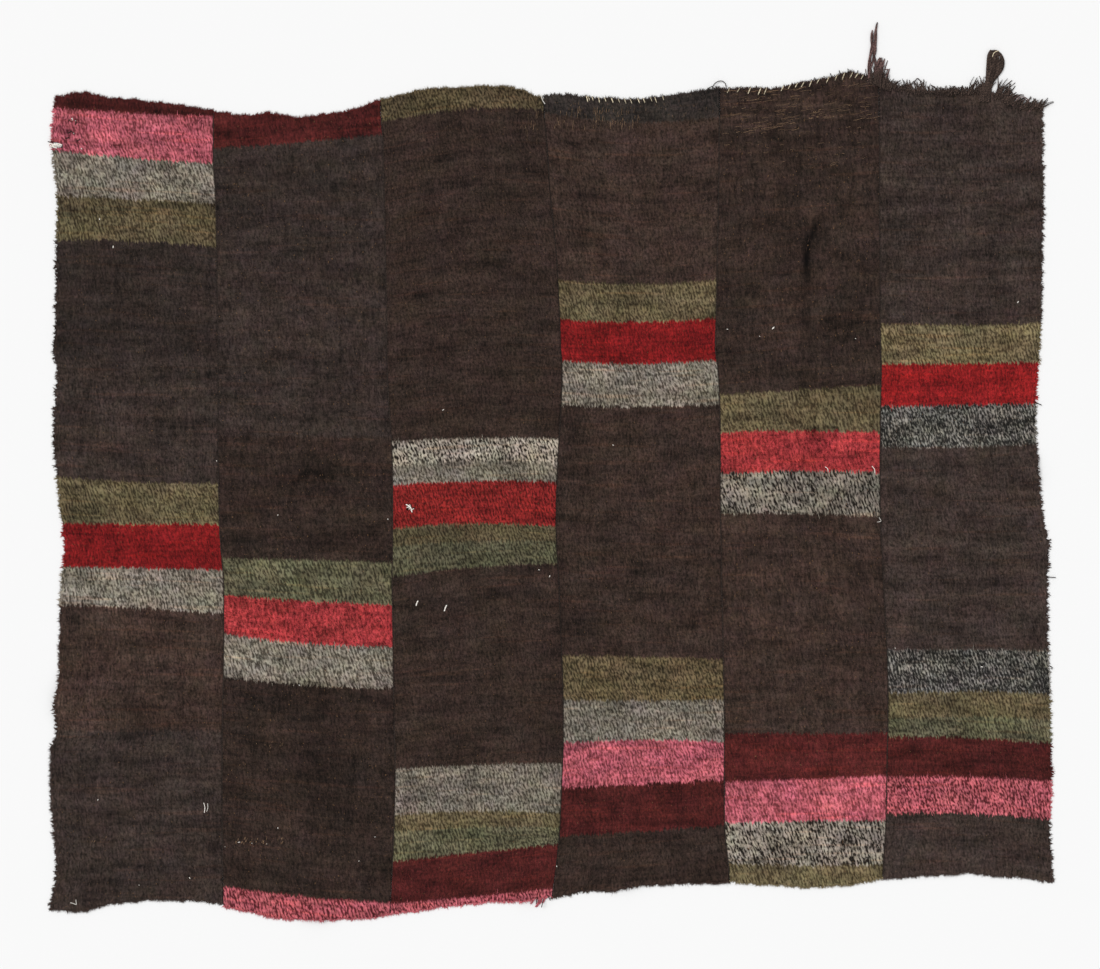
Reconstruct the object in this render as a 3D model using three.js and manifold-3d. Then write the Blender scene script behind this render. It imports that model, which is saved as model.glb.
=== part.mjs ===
// A striped wool blanket: six narrow twill strips sewn edge to edge, laid out flat on the floor.
// Millimetres. +X runs across the strips, +Y along them towards the fringed end, +Z up.
// The origin is on the floor, under the middle of the whole outline, tassel included.
import * as THREE from 'three';
import { mergeVertices } from 'three/addons/utils/BufferGeometryUtils.js';
import Module from 'manifold-3d';

const wasm = await Module();
wasm.setup();

// Driving dimensions
const CLOTH_THICKNESS = 3;
const SEAM_GAP = 0.3;
const CELLS_ACROSS = 7;
const ROW_PITCH = 30;
const HIGHEST_COMMON_ROW = 588;
const LOWEST_COMMON_ROW = -672;
const END_ROWS = 3;
const SELVEDGE_BUMP_DEPTH = 2.6;
const SELVEDGE_BUMP_LEAST = 0.5;
const SELVEDGE_BUMP_SPREAD = 0.7;
const POINTS_PER_BUMP = 2;
const BUMPS_PER_ROW = 2;
const FRINGE_BACKING_WIDTH = 4;
const FRINGE_THICKNESS = 2.4;
const STRAND_THICKNESS = 2;
const FRINGE_START = 570;
const STRAND_PITCH = 4.6;
const STRAND_WIDTH = 1.7;
const STRAND_TIP_WIDTH = 0.7;
const STRAND_LEAN_SPREAD = 5;
const STRAND_PLACE_SPREAD = 0.3;
const TASSEL_HEAD_THICKNESS = 5;
const TASSEL_LOCK_THICKNESS = 4;
const LOOP_THICKNESS = 5;

// Sections across the blanket, from its fringed end down: the outer edges and the five seams.
const SECTIONS = [
  { y: 649, left: -842, seam12: -575, seam23: -291, seam34: -14, seam45: 286, seam56: 557, right: 832 },
  { y: 606, left: -847, seam12: -575, seam23: -290, seam34: -12, seam45: 286, seam56: 557, right: 834 },
  { y: 558, left: -852, seam12: -575, seam23: -286, seam34: -8, seam45: 285, seam56: 558, right: 836 },
  { y: 530, left: -847, seam12: -575, seam23: -286, seam34: -6, seam45: 285, seam56: 558, right: 835 },
  { y: 462, left: -841, seam12: -571, seam23: -284, seam34: -1, seam45: 284, seam56: 558, right: 836 },
  { y: 360, left: -842, seam12: -569, seam23: -282, seam34: 9, seam45: 282, seam56: 559, right: 835 },
  { y: 258, left: -844, seam12: -568, seam23: -280, seam34: 14, seam45: 280, seam56: 559, right: 833 },
  { y: 207, left: -847, seam12: -567, seam23: -280, seam34: 16, seam45: 279, seam56: 560, right: 830 },
  { y: 173, left: -841, seam12: -567, seam23: -279, seam34: 18, seam45: 283, seam56: 561, right: 828 },
  { y: 122, left: -844, seam12: -567, seam23: -277, seam34: 17, seam45: 286, seam56: 560, right: 824 },
  { y: 54, left: -847, seam12: -567, seam23: -272, seam34: 13, seam45: 287, seam56: 559, right: 826 },
  { y: -28, left: -839, seam12: -566, seam23: -270, seam34: 9, seam45: 287, seam56: 559, right: 834 },
  { y: -99, left: -832, seam12: -564, seam23: -270, seam34: 8, seam45: 288, seam56: 560, right: 840 },
  { y: -132, left: -829, seam12: -562, seam23: -270, seam34: 9, seam45: 289, seam56: 562, right: 846 },
  { y: -176, left: -833, seam12: -558, seam23: -271, seam34: 12, seam45: 289, seam56: 564, right: 844 },
  { y: -252, left: -836, seam12: -557, seam23: -270, seam34: 15, seam45: 291, seam56: 568, right: 843 },
  { y: -354, left: -841, seam12: -558, seam23: -269, seam34: 19, seam45: 293, seam56: 572, right: 847 },
  { y: -399, left: -849, seam12: -559, seam23: -268, seam34: 20, seam45: 294, seam56: 572, right: 848 },
  { y: -448, left: -842, seam12: -560, seam23: -267, seam34: 20, seam45: 294, seam56: 572, right: 849 },
  { y: -470, left: -851, seam12: -560, seam23: -266, seam34: 20, seam45: 294, seam56: 571, right: 849 },
  { y: -538, left: -852, seam12: -560, seam23: -266, seam34: 17, seam45: 294, seam56: 570, right: 851 },
  { y: -609, left: -847, seam12: -560, seam23: -268, seam34: 14, seam45: 295, seam56: 568, right: 847 },
  { y: -681, left: -842, seam12: -559, seam23: -271, seam34: 7, seam45: 302, seam56: 564, right: 851 },
  { y: -735, left: -852, seam12: -558, seam23: -274, seam34: -2, seam45: 305, seam56: 565, right: 848 },
];

const STRIPS = [
  { name: 'strip_1', top: 'top1', bottom: 'bottom1', from: 'left', to: 'seam12', bumpy: 'left' },
  { name: 'strip_2', top: 'top2', bottom: 'bottom2', from: 'seam12', to: 'seam23', bumpy: '' },
  { name: 'strip_3', top: 'top3', bottom: 'bottom3', from: 'seam23', to: 'seam34', bumpy: '' },
  { name: 'strip_4', top: 'top4', bottom: 'bottom4', from: 'seam34', to: 'seam45', bumpy: '' },
  { name: 'strip_5', top: 'top5', bottom: 'bottom5', from: 'seam45', to: 'seam56', bumpy: '' },
  { name: 'strip_6', top: 'top6', bottom: 'bottom6', from: 'seam56', to: 'right', bumpy: 'right' },
];

// Where each strip's two ends lie, from its left edge (across 0) to its right edge (across 1).
// The rows of a strip's own end are read by its number, as in top1 for the first strip.
const TOP_ENDS = [
  { across: 0, top1: 638, top2: 612, top3: 633, top4: 640, top5: 652, top6: 658 },
  { across: 1 / 6, top1: 644, top2: 606, top3: 643, top4: 640, top5: 652, top6: 646 },
  { across: 2 / 6, top1: 636, top2: 609, top3: 652, top4: 635, top5: 652, top6: 643 },
  { across: 3 / 6, top1: 632, top2: 603, top3: 652, top4: 633, top5: 660, top6: 644 },
  { across: 4 / 6, top1: 627, top2: 607, top3: 656, top4: 637, top5: 669, top6: 642 },
  { across: 5 / 6, top1: 621, top2: 616, top3: 651, top4: 645, top5: 678, top6: 624 },
  { across: 1, top1: 614, top2: 631, top3: 635, top4: 652, top5: 664, top6: 618 },
];
const BOTTOM_ENDS = [
  { across: 0, bottom1: -745, bottom2: -739, bottom3: -753, bottom4: -725, bottom5: -698, bottom6: -693 },
  { across: 1 / 6, bottom1: -748, bottom2: -750, bottom3: -747, bottom4: -715, bottom5: -701, bottom6: -689 },
  { across: 2 / 6, bottom1: -737, bottom2: -760, bottom3: -741, bottom4: -713, bottom5: -704, bottom6: -686 },
  { across: 3 / 6, bottom1: -730, bottom2: -762, bottom3: -735, bottom4: -704, bottom5: -706, bottom6: -683 },
  { across: 4 / 6, bottom1: -729, bottom2: -762, bottom3: -732, bottom4: -702, bottom5: -705, bottom6: -688 },
  { across: 5 / 6, bottom1: -730, bottom2: -760, bottom3: -730, bottom4: -700, bottom5: -700, bottom6: -691 },
  { across: 1, bottom1: -735, bottom2: -754, bottom3: -723, bottom4: -700, bottom5: -692, bottom6: -698 },
];

// Soft folds that lift the cloth off the floor: each is a rounded ridge from one place to another.
const FOLDS = [
  { place: 'fifth strip, crease', x1: 462, y1: 442, x2: 443, y2: 392, lift: 7, reach: 38 },
  { place: 'fifth strip, crease', x1: 443, y1: 392, x2: 434, y2: 300, lift: 6, reach: 40 },
  { place: 'fifth strip, long fold', x1: 434, y1: 240, x2: 438, y2: -480, lift: 4, reach: 60 },
  { place: 'second strip, arch', x1: -440, y1: -45, x2: -388, y2: 10, lift: 6, reach: 42 },
  { place: 'second strip, arch', x1: -388, y1: 10, x2: -334, y2: -32, lift: 5, reach: 42 },
  { place: 'second strip, long fold', x1: -422, y1: 330, x2: -420, y2: -500, lift: 3, reach: 65 },
  { place: 'second strip, low fold', x1: -520, y1: -535, x2: -430, y2: -530, lift: 5, reach: 50 },
  { place: 'second strip, pucker', x1: -425, y1: -120, x2: -370, y2: -132, lift: 4, reach: 40 },
  { place: 'first strip, edge hump', x1: -830, y1: -385, x2: -740, y2: -440, lift: 8, reach: 62 },
  { place: 'first strip, hump', x1: -735, y1: 260, x2: -690, y2: 200, lift: 4, reach: 80 },
  { place: 'seam three to four, ridge', x1: 42, y1: 80, x2: 46, y2: -290, lift: 4, reach: 44 },
  { place: 'fourth strip, hump', x1: 110, y1: 540, x2: 190, y2: 430, lift: 5, reach: 85 },
  { place: 'third strip, hump', x1: -150, y1: -240, x2: -120, y2: -300, lift: 4, reach: 90 },
  { place: 'third strip, end ripple', x1: -30, y1: -735, x2: -60, y2: -640, lift: 5, reach: 42 },
  { place: 'fourth strip, end ripple', x1: 130, y1: -720, x2: 150, y2: -640, lift: 4, reach: 42 },
  { place: 'sixth strip, seam fold', x1: 606, y1: -270, x2: 612, y2: -440, lift: 5, reach: 44 },
  { place: 'sixth strip, hump', x1: 700, y1: -120, x2: 720, y2: -190, lift: 4, reach: 90 },
  { place: 'sixth strip, edge ripple', x1: 850, y1: -10, x2: 790, y2: 20, lift: 5, reach: 42 },
  { place: 'second strip, end ripple', x1: -400, y1: -775, x2: -395, y2: -680, lift: 5, reach: 50 },
];

// Worn holes in the third strip's red band, and the bite out of the first strip's outer selvedge.
const WEAR_HOLES = [
  { x: -243, y: -61, width: 3.8, length: 12, turn: 33 },
  { x: -236, y: -62.5, width: 3, length: 5, turn: 10 },
];
const WEAR_HOLE_SIDES = 8;
const SELVEDGE_BITE = { y: 554, height: 9, depth: 12, taper: 0.4 };

// The raw warp ends along the top of the sixth strip; lean is degrees towards +X.
const FRINGE_ZONES = [
  { from: 572, to: 602, shortest: 8, longest: 13, lean: 32 },
  { from: 602, to: 640, shortest: 9, longest: 16, lean: -4 },
  { from: 640, to: 714, shortest: 5, longest: 8, lean: 0 },
  { from: 753, to: 776, shortest: 22, longest: 31, lean: 20 },
  { from: 776, to: 800, shortest: 9, longest: 13, lean: 42 },
  { from: 800, to: 827, shortest: 6, longest: 11, lean: 25 },
  { from: 827, to: 832, shortest: 13, longest: 14, lean: 46 },
];

// The corner tassel's locks: the middle line of each and its width there.
const TASSEL_LOCKS = {
  long: [
    { x: 551.5, y: 668, width: 7 },
    { x: 551.5, y: 686, width: 5.6 },
    { x: 550, y: 703, width: 4.8 },
    { x: 549.6, y: 717, width: 4 },
    { x: 550.2, y: 730, width: 4.2 },
    { x: 550.8, y: 741, width: 3.4 },
    { x: 551.8, y: 751, width: 2.6 },
    { x: 554.5, y: 761.6, width: 1.2 },
  ],
  forked: [
    { x: 541.5, y: 674, width: 3.6 },
    { x: 541, y: 690, width: 3 },
    { x: 542.4, y: 704, width: 3.2 },
    { x: 544.6, y: 719, width: 3.4 },
    { x: 545.4, y: 731, width: 3.2 },
    { x: 544.8, y: 741, width: 2.8 },
    { x: 545.6, y: 749, width: 1.4 },
  ],
  blunt: [
    { x: 560, y: 668, width: 7 },
    { x: 559.5, y: 686, width: 6.2 },
    { x: 559.2, y: 697, width: 5.6 },
    { x: 558.6, y: 703.5, width: 3.6 },
  ],
  thin: [
    { x: 565.2, y: 668, width: 2.2 },
    { x: 565.6, y: 681, width: 2 },
    { x: 567.4, y: 692, width: 1.8 },
    { x: 569.6, y: 699.6, width: 1 },
  ],
  bent: [
    { x: 567.6, y: 664, width: 2 },
    { x: 570, y: 672, width: 1.8 },
    { x: 573, y: 681, width: 1.7 },
    { x: 573.4, y: 684, width: 1.6 },
    { x: 571, y: 685.4, width: 1.2 },
  ],
  short: [
    { x: 536.4, y: 674, width: 2.2 },
    { x: 534.6, y: 684, width: 1 },
  ],
};
const TASSEL_HEAD = { left: 533, right: 569, top: 680, leftTaper: 4, rightTaper: 2, shoulder: 10 };

// The folded warp loop, seen from above: up its left limb, round the slit in its fold and down.
const LOOP_FOOT = { left: 716, right: 749 };
const LOOP_OUTLINE = [
  { x: 726, y: 659 }, { x: 739, y: 667 }, { x: 740, y: 691 }, { x: 743, y: 709 }, { x: 748, y: 716 },
  { x: 754, y: 714.5 }, { x: 750, y: 709 }, { x: 747, y: 702 }, { x: 752, y: 706 }, { x: 757, y: 711 },
  { x: 763, y: 710.5 }, { x: 768, y: 704 }, { x: 771, y: 692 }, { x: 769, y: 682 }, { x: 761, y: 671 },
  { x: 754, y: 662 }, { x: 750.5, y: 654 },
];

const COLOURS = {
  dark_brown: 0x352c28,
  earth_brown: 0x3b322c,
  fringe_brown: 0x2d2624,
};

// A repeatable number from 0 to 1 for the n-th thing of a kind.
function scatter(n) {
  const wave = Math.sin(n * 12.9898) * 43758.5453;
  return wave - Math.floor(wave);
}

// A smooth curve through a table's rows: the value of one column where another has the value given.
function smoothAt(table, key, column, at) {
  const rising = table[0][key] < table[table.length - 1][key];
  const rows = rising ? table : [...table].reverse();
  const last = rows.length - 1;
  let i = rows.findIndex((row) => row[key] > at) - 1;
  if (i === -2) i = last - 1;
  if (i < 0) i = 0;
  const p0 = rows[Math.max(i - 1, 0)];
  const p1 = rows[i];
  const p2 = rows[i + 1];
  const p3 = rows[Math.min(i + 2, last)];
  const span = p2[key] - p1[key];
  const t = Math.min(Math.max((at - p1[key]) / span, 0), 1);
  const slopeIn = ((p2[column] - p0[column]) / (p2[key] - p0[key])) * span;
  const slopeOut = ((p3[column] - p1[column]) / (p3[key] - p1[key])) * span;
  const t2 = t * t;
  const t3 = t2 * t;
  return (2 * t3 - 3 * t2 + 1) * p1[column] + (t3 - 2 * t2 + t) * slopeIn
    + (3 * t2 - 2 * t3) * p2[column] + (t3 - t2) * slopeOut;
}

// How far the folds lift the cloth off the floor at one place.
function liftAt(x, y) {
  let lift = 0;
  for (const fold of FOLDS) {
    const alongX = fold.x2 - fold.x1;
    const alongY = fold.y2 - fold.y1;
    const length2 = alongX * alongX + alongY * alongY;
    const part = ((x - fold.x1) * alongX + (y - fold.y1) * alongY) / length2;
    const t = Math.min(Math.max(part, 0), 1);
    const away = Math.hypot(x - fold.x1 - t * alongX, y - fold.y1 - t * alongY) / fold.reach;
    if (away < 1) lift = Math.max(lift, fold.lift * 0.5 * (1 + Math.cos(Math.PI * away)));
  }
  return lift;
}

// The left and right edges of a strip at one height, a seam's gap shared by the strips beside it.
function stripSides(strip, y) {
  const insetLeft = strip.from === 'left' ? 0 : SEAM_GAP / 2;
  const insetRight = strip.to === 'right' ? 0 : SEAM_GAP / 2;
  return {
    left: smoothAt(SECTIONS, 'y', strip.from, y) + insetLeft,
    right: smoothAt(SECTIONS, 'y', strip.to, y) - insetRight,
  };
}

// The height of one row of a strip: rows are level in the middle and bend to the ends' own curves.
function rowHeight(strip, row, across) {
  const commonRows = (HIGHEST_COMMON_ROW - LOWEST_COMMON_ROW) / ROW_PITCH;
  if (row < END_ROWS) {
    const end = smoothAt(BOTTOM_ENDS, 'across', strip.bottom, across);
    return end + (row / END_ROWS) * (LOWEST_COMMON_ROW - end);
  }
  if (row > END_ROWS + commonRows) {
    const end = smoothAt(TOP_ENDS, 'across', strip.top, across);
    const part = (row - END_ROWS - commonRows) / END_ROWS;
    return HIGHEST_COMMON_ROW + part * (end - HIGHEST_COMMON_ROW);
  }
  return LOWEST_COMMON_ROW + (row - END_ROWS) * ROW_PITCH;
}

function rowCount() {
  return 2 * END_ROWS + (HIGHEST_COMMON_ROW - LOWEST_COMMON_ROW) / ROW_PITCH;
}

// A point of the strip's grid, in the plane of the floor. Row numbers need not be whole.
function gridPoint(strip, row, across) {
  const whole = Math.min(Math.floor(row), rowCount() - 1);
  const below = rowHeight(strip, whole, across);
  const above = rowHeight(strip, whole + 1, across);
  const y = below + (row - whole) * (above - below);
  const sides = stripSides(strip, y);
  return { x: sides.left + across * (sides.right - sides.left), y };
}

// How far the corded outer selvedge stands in at one of its fine points, and the bite worn in it.
function selvedgeInset(strip, index, y) {
  const share = SELVEDGE_BUMP_LEAST + SELVEDGE_BUMP_SPREAD * scatter(index);
  const wave = index % POINTS_PER_BUMP === 0 ? -0.5 : share - 0.5;
  const bump = SELVEDGE_BUMP_DEPTH * wave;
  if (strip.bumpy !== 'left') return bump;
  const away = Math.abs(y - SELVEDGE_BITE.y) / SELVEDGE_BITE.height;
  return away < 1 ? SELVEDGE_BITE.depth * (1 - SELVEDGE_BITE.taper * away) : bump;
}

// The rim of a strip, anticlockwise from above, and the grid inside it, as one indexed sheet.
function sheetOutline(strip) {
  const points = [];
  const rows = rowCount();
  const stepsPerRow = POINTS_PER_BUMP * BUMPS_PER_ROW;
  const grid = [];
  for (let row = 0; row <= rows; row += 1) {
    grid.push([]);
    for (let cell = 0; cell <= CELLS_ACROSS; cell += 1) {
      points.push(gridPoint(strip, row, cell / CELLS_ACROSS));
      grid[row].push(points.length - 1);
    }
  }
  const fine = { left: [], right: [] };
  for (const side of ['left', 'right']) {
    const cell = side === 'left' ? 0 : CELLS_ACROSS;
    const inward = side === 'left' ? 1 : -1;
    for (let row = 0; row < rows; row += 1) {
      const line = [grid[row][cell]];
      for (let step = 1; strip.bumpy === side && step < stepsPerRow; step += 1) {
        const index = row * stepsPerRow + step;
        const point = gridPoint(strip, row + step / stepsPerRow, cell / CELLS_ACROSS);
        point.x += inward * selvedgeInset(strip, index, point.y);
        points.push(point);
        line.push(points.length - 1);
      }
      line.push(grid[row + 1][cell]);
      fine[side].push(line);
    }
  }
  return { points, grid, fine };
}

// The triangles of one cell, with its outer side split where the selvedge is bumpy.
function cellTriangles(corners, leftLine, rightLine) {
  const [a, b, c, d] = corners;
  const triangles = [];
  if (leftLine.length > 2) {
    for (let i = 0; i + 1 < leftLine.length; i += 1) triangles.push([leftLine[i + 1], leftLine[i], b]);
    triangles.push([d, b, c]);
  } else if (rightLine.length > 2) {
    for (let i = 0; i + 1 < rightLine.length; i += 1) triangles.push([rightLine[i], rightLine[i + 1], a]);
    triangles.push([a, c, d]);
  } else {
    triangles.push([a, b, c], [a, c, d]);
  }
  return triangles;
}

// A closed sheet of even thickness that follows the folds, from its plan and its top triangles.
function sheetGeometry(plan, topTriangles, rim) {
  const count = plan.length;
  const positions = [];
  for (const height of [CLOTH_THICKNESS, 0]) {
    for (const point of plan) positions.push(point.x, point.y, liftAt(point.x, point.y) + height);
  }
  const index = [];
  for (const [a, b, c] of topTriangles) index.push(a, b, c, c + count, b + count, a + count);
  for (let i = 0; i < rim.length; i += 1) {
    const here = rim[i];
    const next = rim[(i + 1) % rim.length];
    index.push(here, here + count, next, next, here + count, next + count);
  }
  const geometry = new THREE.BufferGeometry();
  geometry.setAttribute('position', new THREE.Float32BufferAttribute(positions, 3));
  geometry.setIndex(index);
  return geometry;
}

function stripGeometry(strip) {
  const { points, grid, fine } = sheetOutline(strip);
  const rows = rowCount();
  const triangles = [];
  for (let row = 0; row < rows; row += 1) {
    for (let cell = 0; cell < CELLS_ACROSS; cell += 1) {
      const corners = [grid[row][cell], grid[row][cell + 1], grid[row + 1][cell + 1], grid[row + 1][cell]];
      const leftLine = cell === 0 ? fine.left[row] : [];
      const rightLine = cell === CELLS_ACROSS - 1 ? fine.right[row] : [];
      triangles.push(...cellTriangles(corners, leftLine, rightLine));
    }
  }
  const bottomRim = grid[0].slice(0, -1);
  const rightRim = fine.right.flatMap((line) => line.slice(0, -1));
  const topRim = [...grid[rows]].reverse().slice(0, -1);
  const leftRim = [...fine.left].reverse().flatMap((line) => [...line].reverse().slice(0, -1));
  return sheetGeometry(points, triangles, [...bottomRim, ...rightRim, ...topRim, ...leftRim]);
}

// The height of a strip's top end at x, along the straight facets of its own rim.
function topEdgeAt(strip, x) {
  const rim = [];
  for (let cell = 0; cell <= CELLS_ACROSS; cell += 1) {
    rim.push(gridPoint(strip, rowCount(), cell / CELLS_ACROSS));
  }
  let i = rim.findIndex((point) => point.x > x) - 1;
  if (i === -2) i = CELLS_ACROSS - 1;
  if (i < 0) i = 0;
  const part = (x - rim[i].x) / (rim[i + 1].x - rim[i].x);
  return rim[i].y + part * (rim[i + 1].y - rim[i].y);
}

function toSolid(geometry) {
  const bare = geometry.clone();
  bare.deleteAttribute('normal');
  bare.deleteAttribute('uv');
  const merged = mergeVertices(bare);
  return new wasm.Manifold(new wasm.Mesh({
    numProp: 3,
    vertProperties: new Float32Array(merged.attributes.position.array),
    triVerts: new Uint32Array(merged.index.array),
  }));
}

function toGeometry(solid) {
  const mesh = solid.getMesh();
  const geometry = new THREE.BufferGeometry();
  geometry.setAttribute('position', new THREE.BufferAttribute(new Float32Array(mesh.vertProperties), 3));
  geometry.setIndex(new THREE.BufferAttribute(new Uint32Array(mesh.triVerts), 1));
  return geometry;
}

// A flat outline given thickness, standing on the floor.
function slab(outline, thickness) {
  const shape = new THREE.Shape(outline.map((point) => new THREE.Vector2(point.x, point.y)));
  return new THREE.ExtrudeGeometry(shape, { depth: thickness, bevelEnabled: false });
}

// A lock or strand of four sides that lies level on the floor, along a row of places and widths.
function strand(path, thickness) {
  const left = [];
  const right = [];
  path.forEach((point, i) => {
    const before = path[Math.max(i - 1, 0)];
    const after = path[Math.min(i + 1, path.length - 1)];
    const length = Math.hypot(after.x - before.x, after.y - before.y);
    const sideX = (-(after.y - before.y) / length) * (point.width / 2);
    const sideY = ((after.x - before.x) / length) * (point.width / 2);
    left.push({ x: point.x + sideX, y: point.y + sideY });
    right.push({ x: point.x - sideX, y: point.y - sideY });
  });
  return slab([...right, ...left.reverse()], thickness);
}

function joined(geometries) {
  return toGeometry(geometries.map(toSolid).reduce((whole, piece) => whole.add(piece)));
}

function wearHole(hole) {
  const outline = [];
  for (let i = 0; i < WEAR_HOLE_SIDES; i += 1) {
    const angle = (i / WEAR_HOLE_SIDES) * 2 * Math.PI;
    outline.push({ x: (hole.width / 2) * Math.cos(angle), y: (hole.length / 2) * Math.sin(angle) });
  }
  const cutter = slab(outline, 4 * CLOTH_THICKNESS);
  cutter.rotateZ(THREE.MathUtils.degToRad(hole.turn));
  cutter.translate(hole.x, hole.y, -CLOTH_THICKNESS);
  return cutter;
}

function wornStripGeometry(strip) {
  const whole = toSolid(stripGeometry(strip));
  const worn = WEAR_HOLES.reduce((cloth, hole) => cloth.subtract(toSolid(wearHole(hole))), whole);
  return toGeometry(worn);
}

// The narrow strip that carries the fringe, parted from the sixth strip's end by a seam's gap.
function fringeBacking(strip) {
  const end = gridPoint(strip, rowCount(), 1).x;
  const places = [FRINGE_START];
  for (let cell = 1; cell < CELLS_ACROSS; cell += 1) {
    const x = gridPoint(strip, rowCount(), cell / CELLS_ACROSS).x;
    if (x > FRINGE_START) places.push(x);
  }
  places.push(end);
  const lower = places.map((x) => ({ x, y: topEdgeAt(strip, x) + SEAM_GAP }));
  const upper = lower.map((point) => ({ x: point.x, y: point.y + FRINGE_BACKING_WIDTH })).reverse();
  return slab([...lower, ...upper], FRINGE_THICKNESS);
}

function fringeStrands(strip) {
  const strands = [];
  for (const zone of FRINGE_ZONES) {
    const count = Math.floor((zone.to - zone.from) / STRAND_PITCH);
    for (let i = 0; i < count; i += 1) {
      const seed = zone.from + i;
      const place = 0.5 + STRAND_PLACE_SPREAD * (scatter(seed) - 0.5);
      const x = zone.from + (i + place) * STRAND_PITCH;
      const y = topEdgeAt(strip, x) + SEAM_GAP + FRINGE_BACKING_WIDTH / 2;
      const length = zone.shortest + (zone.longest - zone.shortest) * scatter(seed + 3);
      const lean = THREE.MathUtils.degToRad(zone.lean + STRAND_LEAN_SPREAD * (scatter(seed + 5) - 0.5));
      const reach = length + FRINGE_BACKING_WIDTH / 2;
      const tip = { x: x + reach * Math.sin(lean), y: y + reach * Math.cos(lean), width: STRAND_TIP_WIDTH };
      strands.push(strand([{ x, y, width: STRAND_WIDTH }, tip], STRAND_THICKNESS));
    }
  }
  return strands;
}

function warpFringeGeometry() {
  const strip = STRIPS[5];
  return joined([fringeBacking(strip), ...fringeStrands(strip)]);
}

// The tassel's head fits over the corner where the fifth and sixth strips' ends meet.
function tasselHead() {
  const [fifth, sixth] = [STRIPS[4], STRIPS[5]];
  const seamX = gridPoint(sixth, rowCount(), 0).x;
  const cornerX = gridPoint(fifth, rowCount(), (CELLS_ACROSS - 1) / CELLS_ACROSS).x;
  const outline = [
    { x: TASSEL_HEAD.left, y: topEdgeAt(fifth, Math.max(TASSEL_HEAD.left, cornerX)) + SEAM_GAP },
    { x: seamX + 2 * SEAM_GAP, y: topEdgeAt(fifth, seamX) + SEAM_GAP },
    { x: seamX + 2 * SEAM_GAP, y: topEdgeAt(sixth, seamX + 2 * SEAM_GAP) + SEAM_GAP },
    { x: TASSEL_HEAD.right, y: topEdgeAt(sixth, TASSEL_HEAD.right) + SEAM_GAP },
    { x: TASSEL_HEAD.right - TASSEL_HEAD.rightTaper, y: TASSEL_HEAD.top - TASSEL_HEAD.shoulder },
    { x: seamX, y: TASSEL_HEAD.top },
    { x: TASSEL_HEAD.left + TASSEL_HEAD.leftTaper, y: TASSEL_HEAD.top },
  ];
  return slab(outline, TASSEL_HEAD_THICKNESS);
}

function cornerTasselGeometry() {
  const locks = Object.values(TASSEL_LOCKS).map((path) => strand(path, TASSEL_LOCK_THICKNESS));
  return joined([tasselHead(), ...locks]);
}

function warpLoopGeometry() {
  const strip = STRIPS[5];
  const seat = SEAM_GAP + FRINGE_BACKING_WIDTH + SEAM_GAP;
  const foot = [LOOP_FOOT.right, LOOP_FOOT.left].map((x) => ({ x, y: topEdgeAt(strip, x) + seat }));
  return slab([...foot, ...LOOP_OUTLINE], LOOP_THICKNESS);
}

function wool(colour) {
  return new THREE.MeshStandardMaterial({ color: colour, roughness: 0.95, metalness: 0 });
}

function piece(name, geometry, colour) {
  const mesh = new THREE.Mesh(geometry, wool(colour));
  mesh.name = name;
  return mesh;
}

function blanket() {
  const group = new THREE.Group();
  STRIPS.forEach((strip, i) => {
    const worn = strip.name === 'strip_3';
    const geometry = worn ? wornStripGeometry(strip) : stripGeometry(strip);
    group.add(piece(strip.name, geometry, i % 2 ? COLOURS.earth_brown : COLOURS.dark_brown));
  });
  group.add(piece('warp_fringe', warpFringeGeometry(), COLOURS.fringe_brown));
  group.add(piece('corner_tassel', cornerTasselGeometry(), COLOURS.fringe_brown));
  group.add(piece('warp_loop', warpLoopGeometry(), COLOURS.fringe_brown));
  return group;
}

export default blanket();
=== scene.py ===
# A striped wool blanket: six narrow twill strips sewn edge to edge, laid out flat on a pale floor.
# Blender works in metres. The tables are in millimetres, as in the part's source, and MM turns them.
# +X runs across the strips, +Y along them towards the fringed end, +Z up out of the face that shows.
import math
import bpy
import numpy as np
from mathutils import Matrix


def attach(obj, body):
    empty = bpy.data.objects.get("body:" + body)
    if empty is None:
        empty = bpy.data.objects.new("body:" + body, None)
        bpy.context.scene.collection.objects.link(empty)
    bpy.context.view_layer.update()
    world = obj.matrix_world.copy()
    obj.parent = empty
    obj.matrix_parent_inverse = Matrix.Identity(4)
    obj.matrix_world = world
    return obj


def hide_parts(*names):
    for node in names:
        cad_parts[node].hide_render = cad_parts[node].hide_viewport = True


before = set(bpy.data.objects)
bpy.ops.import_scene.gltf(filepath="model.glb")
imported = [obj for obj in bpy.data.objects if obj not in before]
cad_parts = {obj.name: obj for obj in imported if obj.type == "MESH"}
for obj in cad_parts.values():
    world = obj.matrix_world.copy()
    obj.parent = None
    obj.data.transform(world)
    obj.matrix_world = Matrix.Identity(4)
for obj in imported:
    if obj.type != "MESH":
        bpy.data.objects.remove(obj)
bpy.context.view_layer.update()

MM = 0.001

# The frame of the photograph
FRAME_WIDTH = 1100 * 1.7 * MM
FRAME_MIDDLE = (-2.5 * MM, -22 * MM)
CAMERA_HEIGHT = 4.0
SENSOR_WIDTH = 36.0

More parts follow.
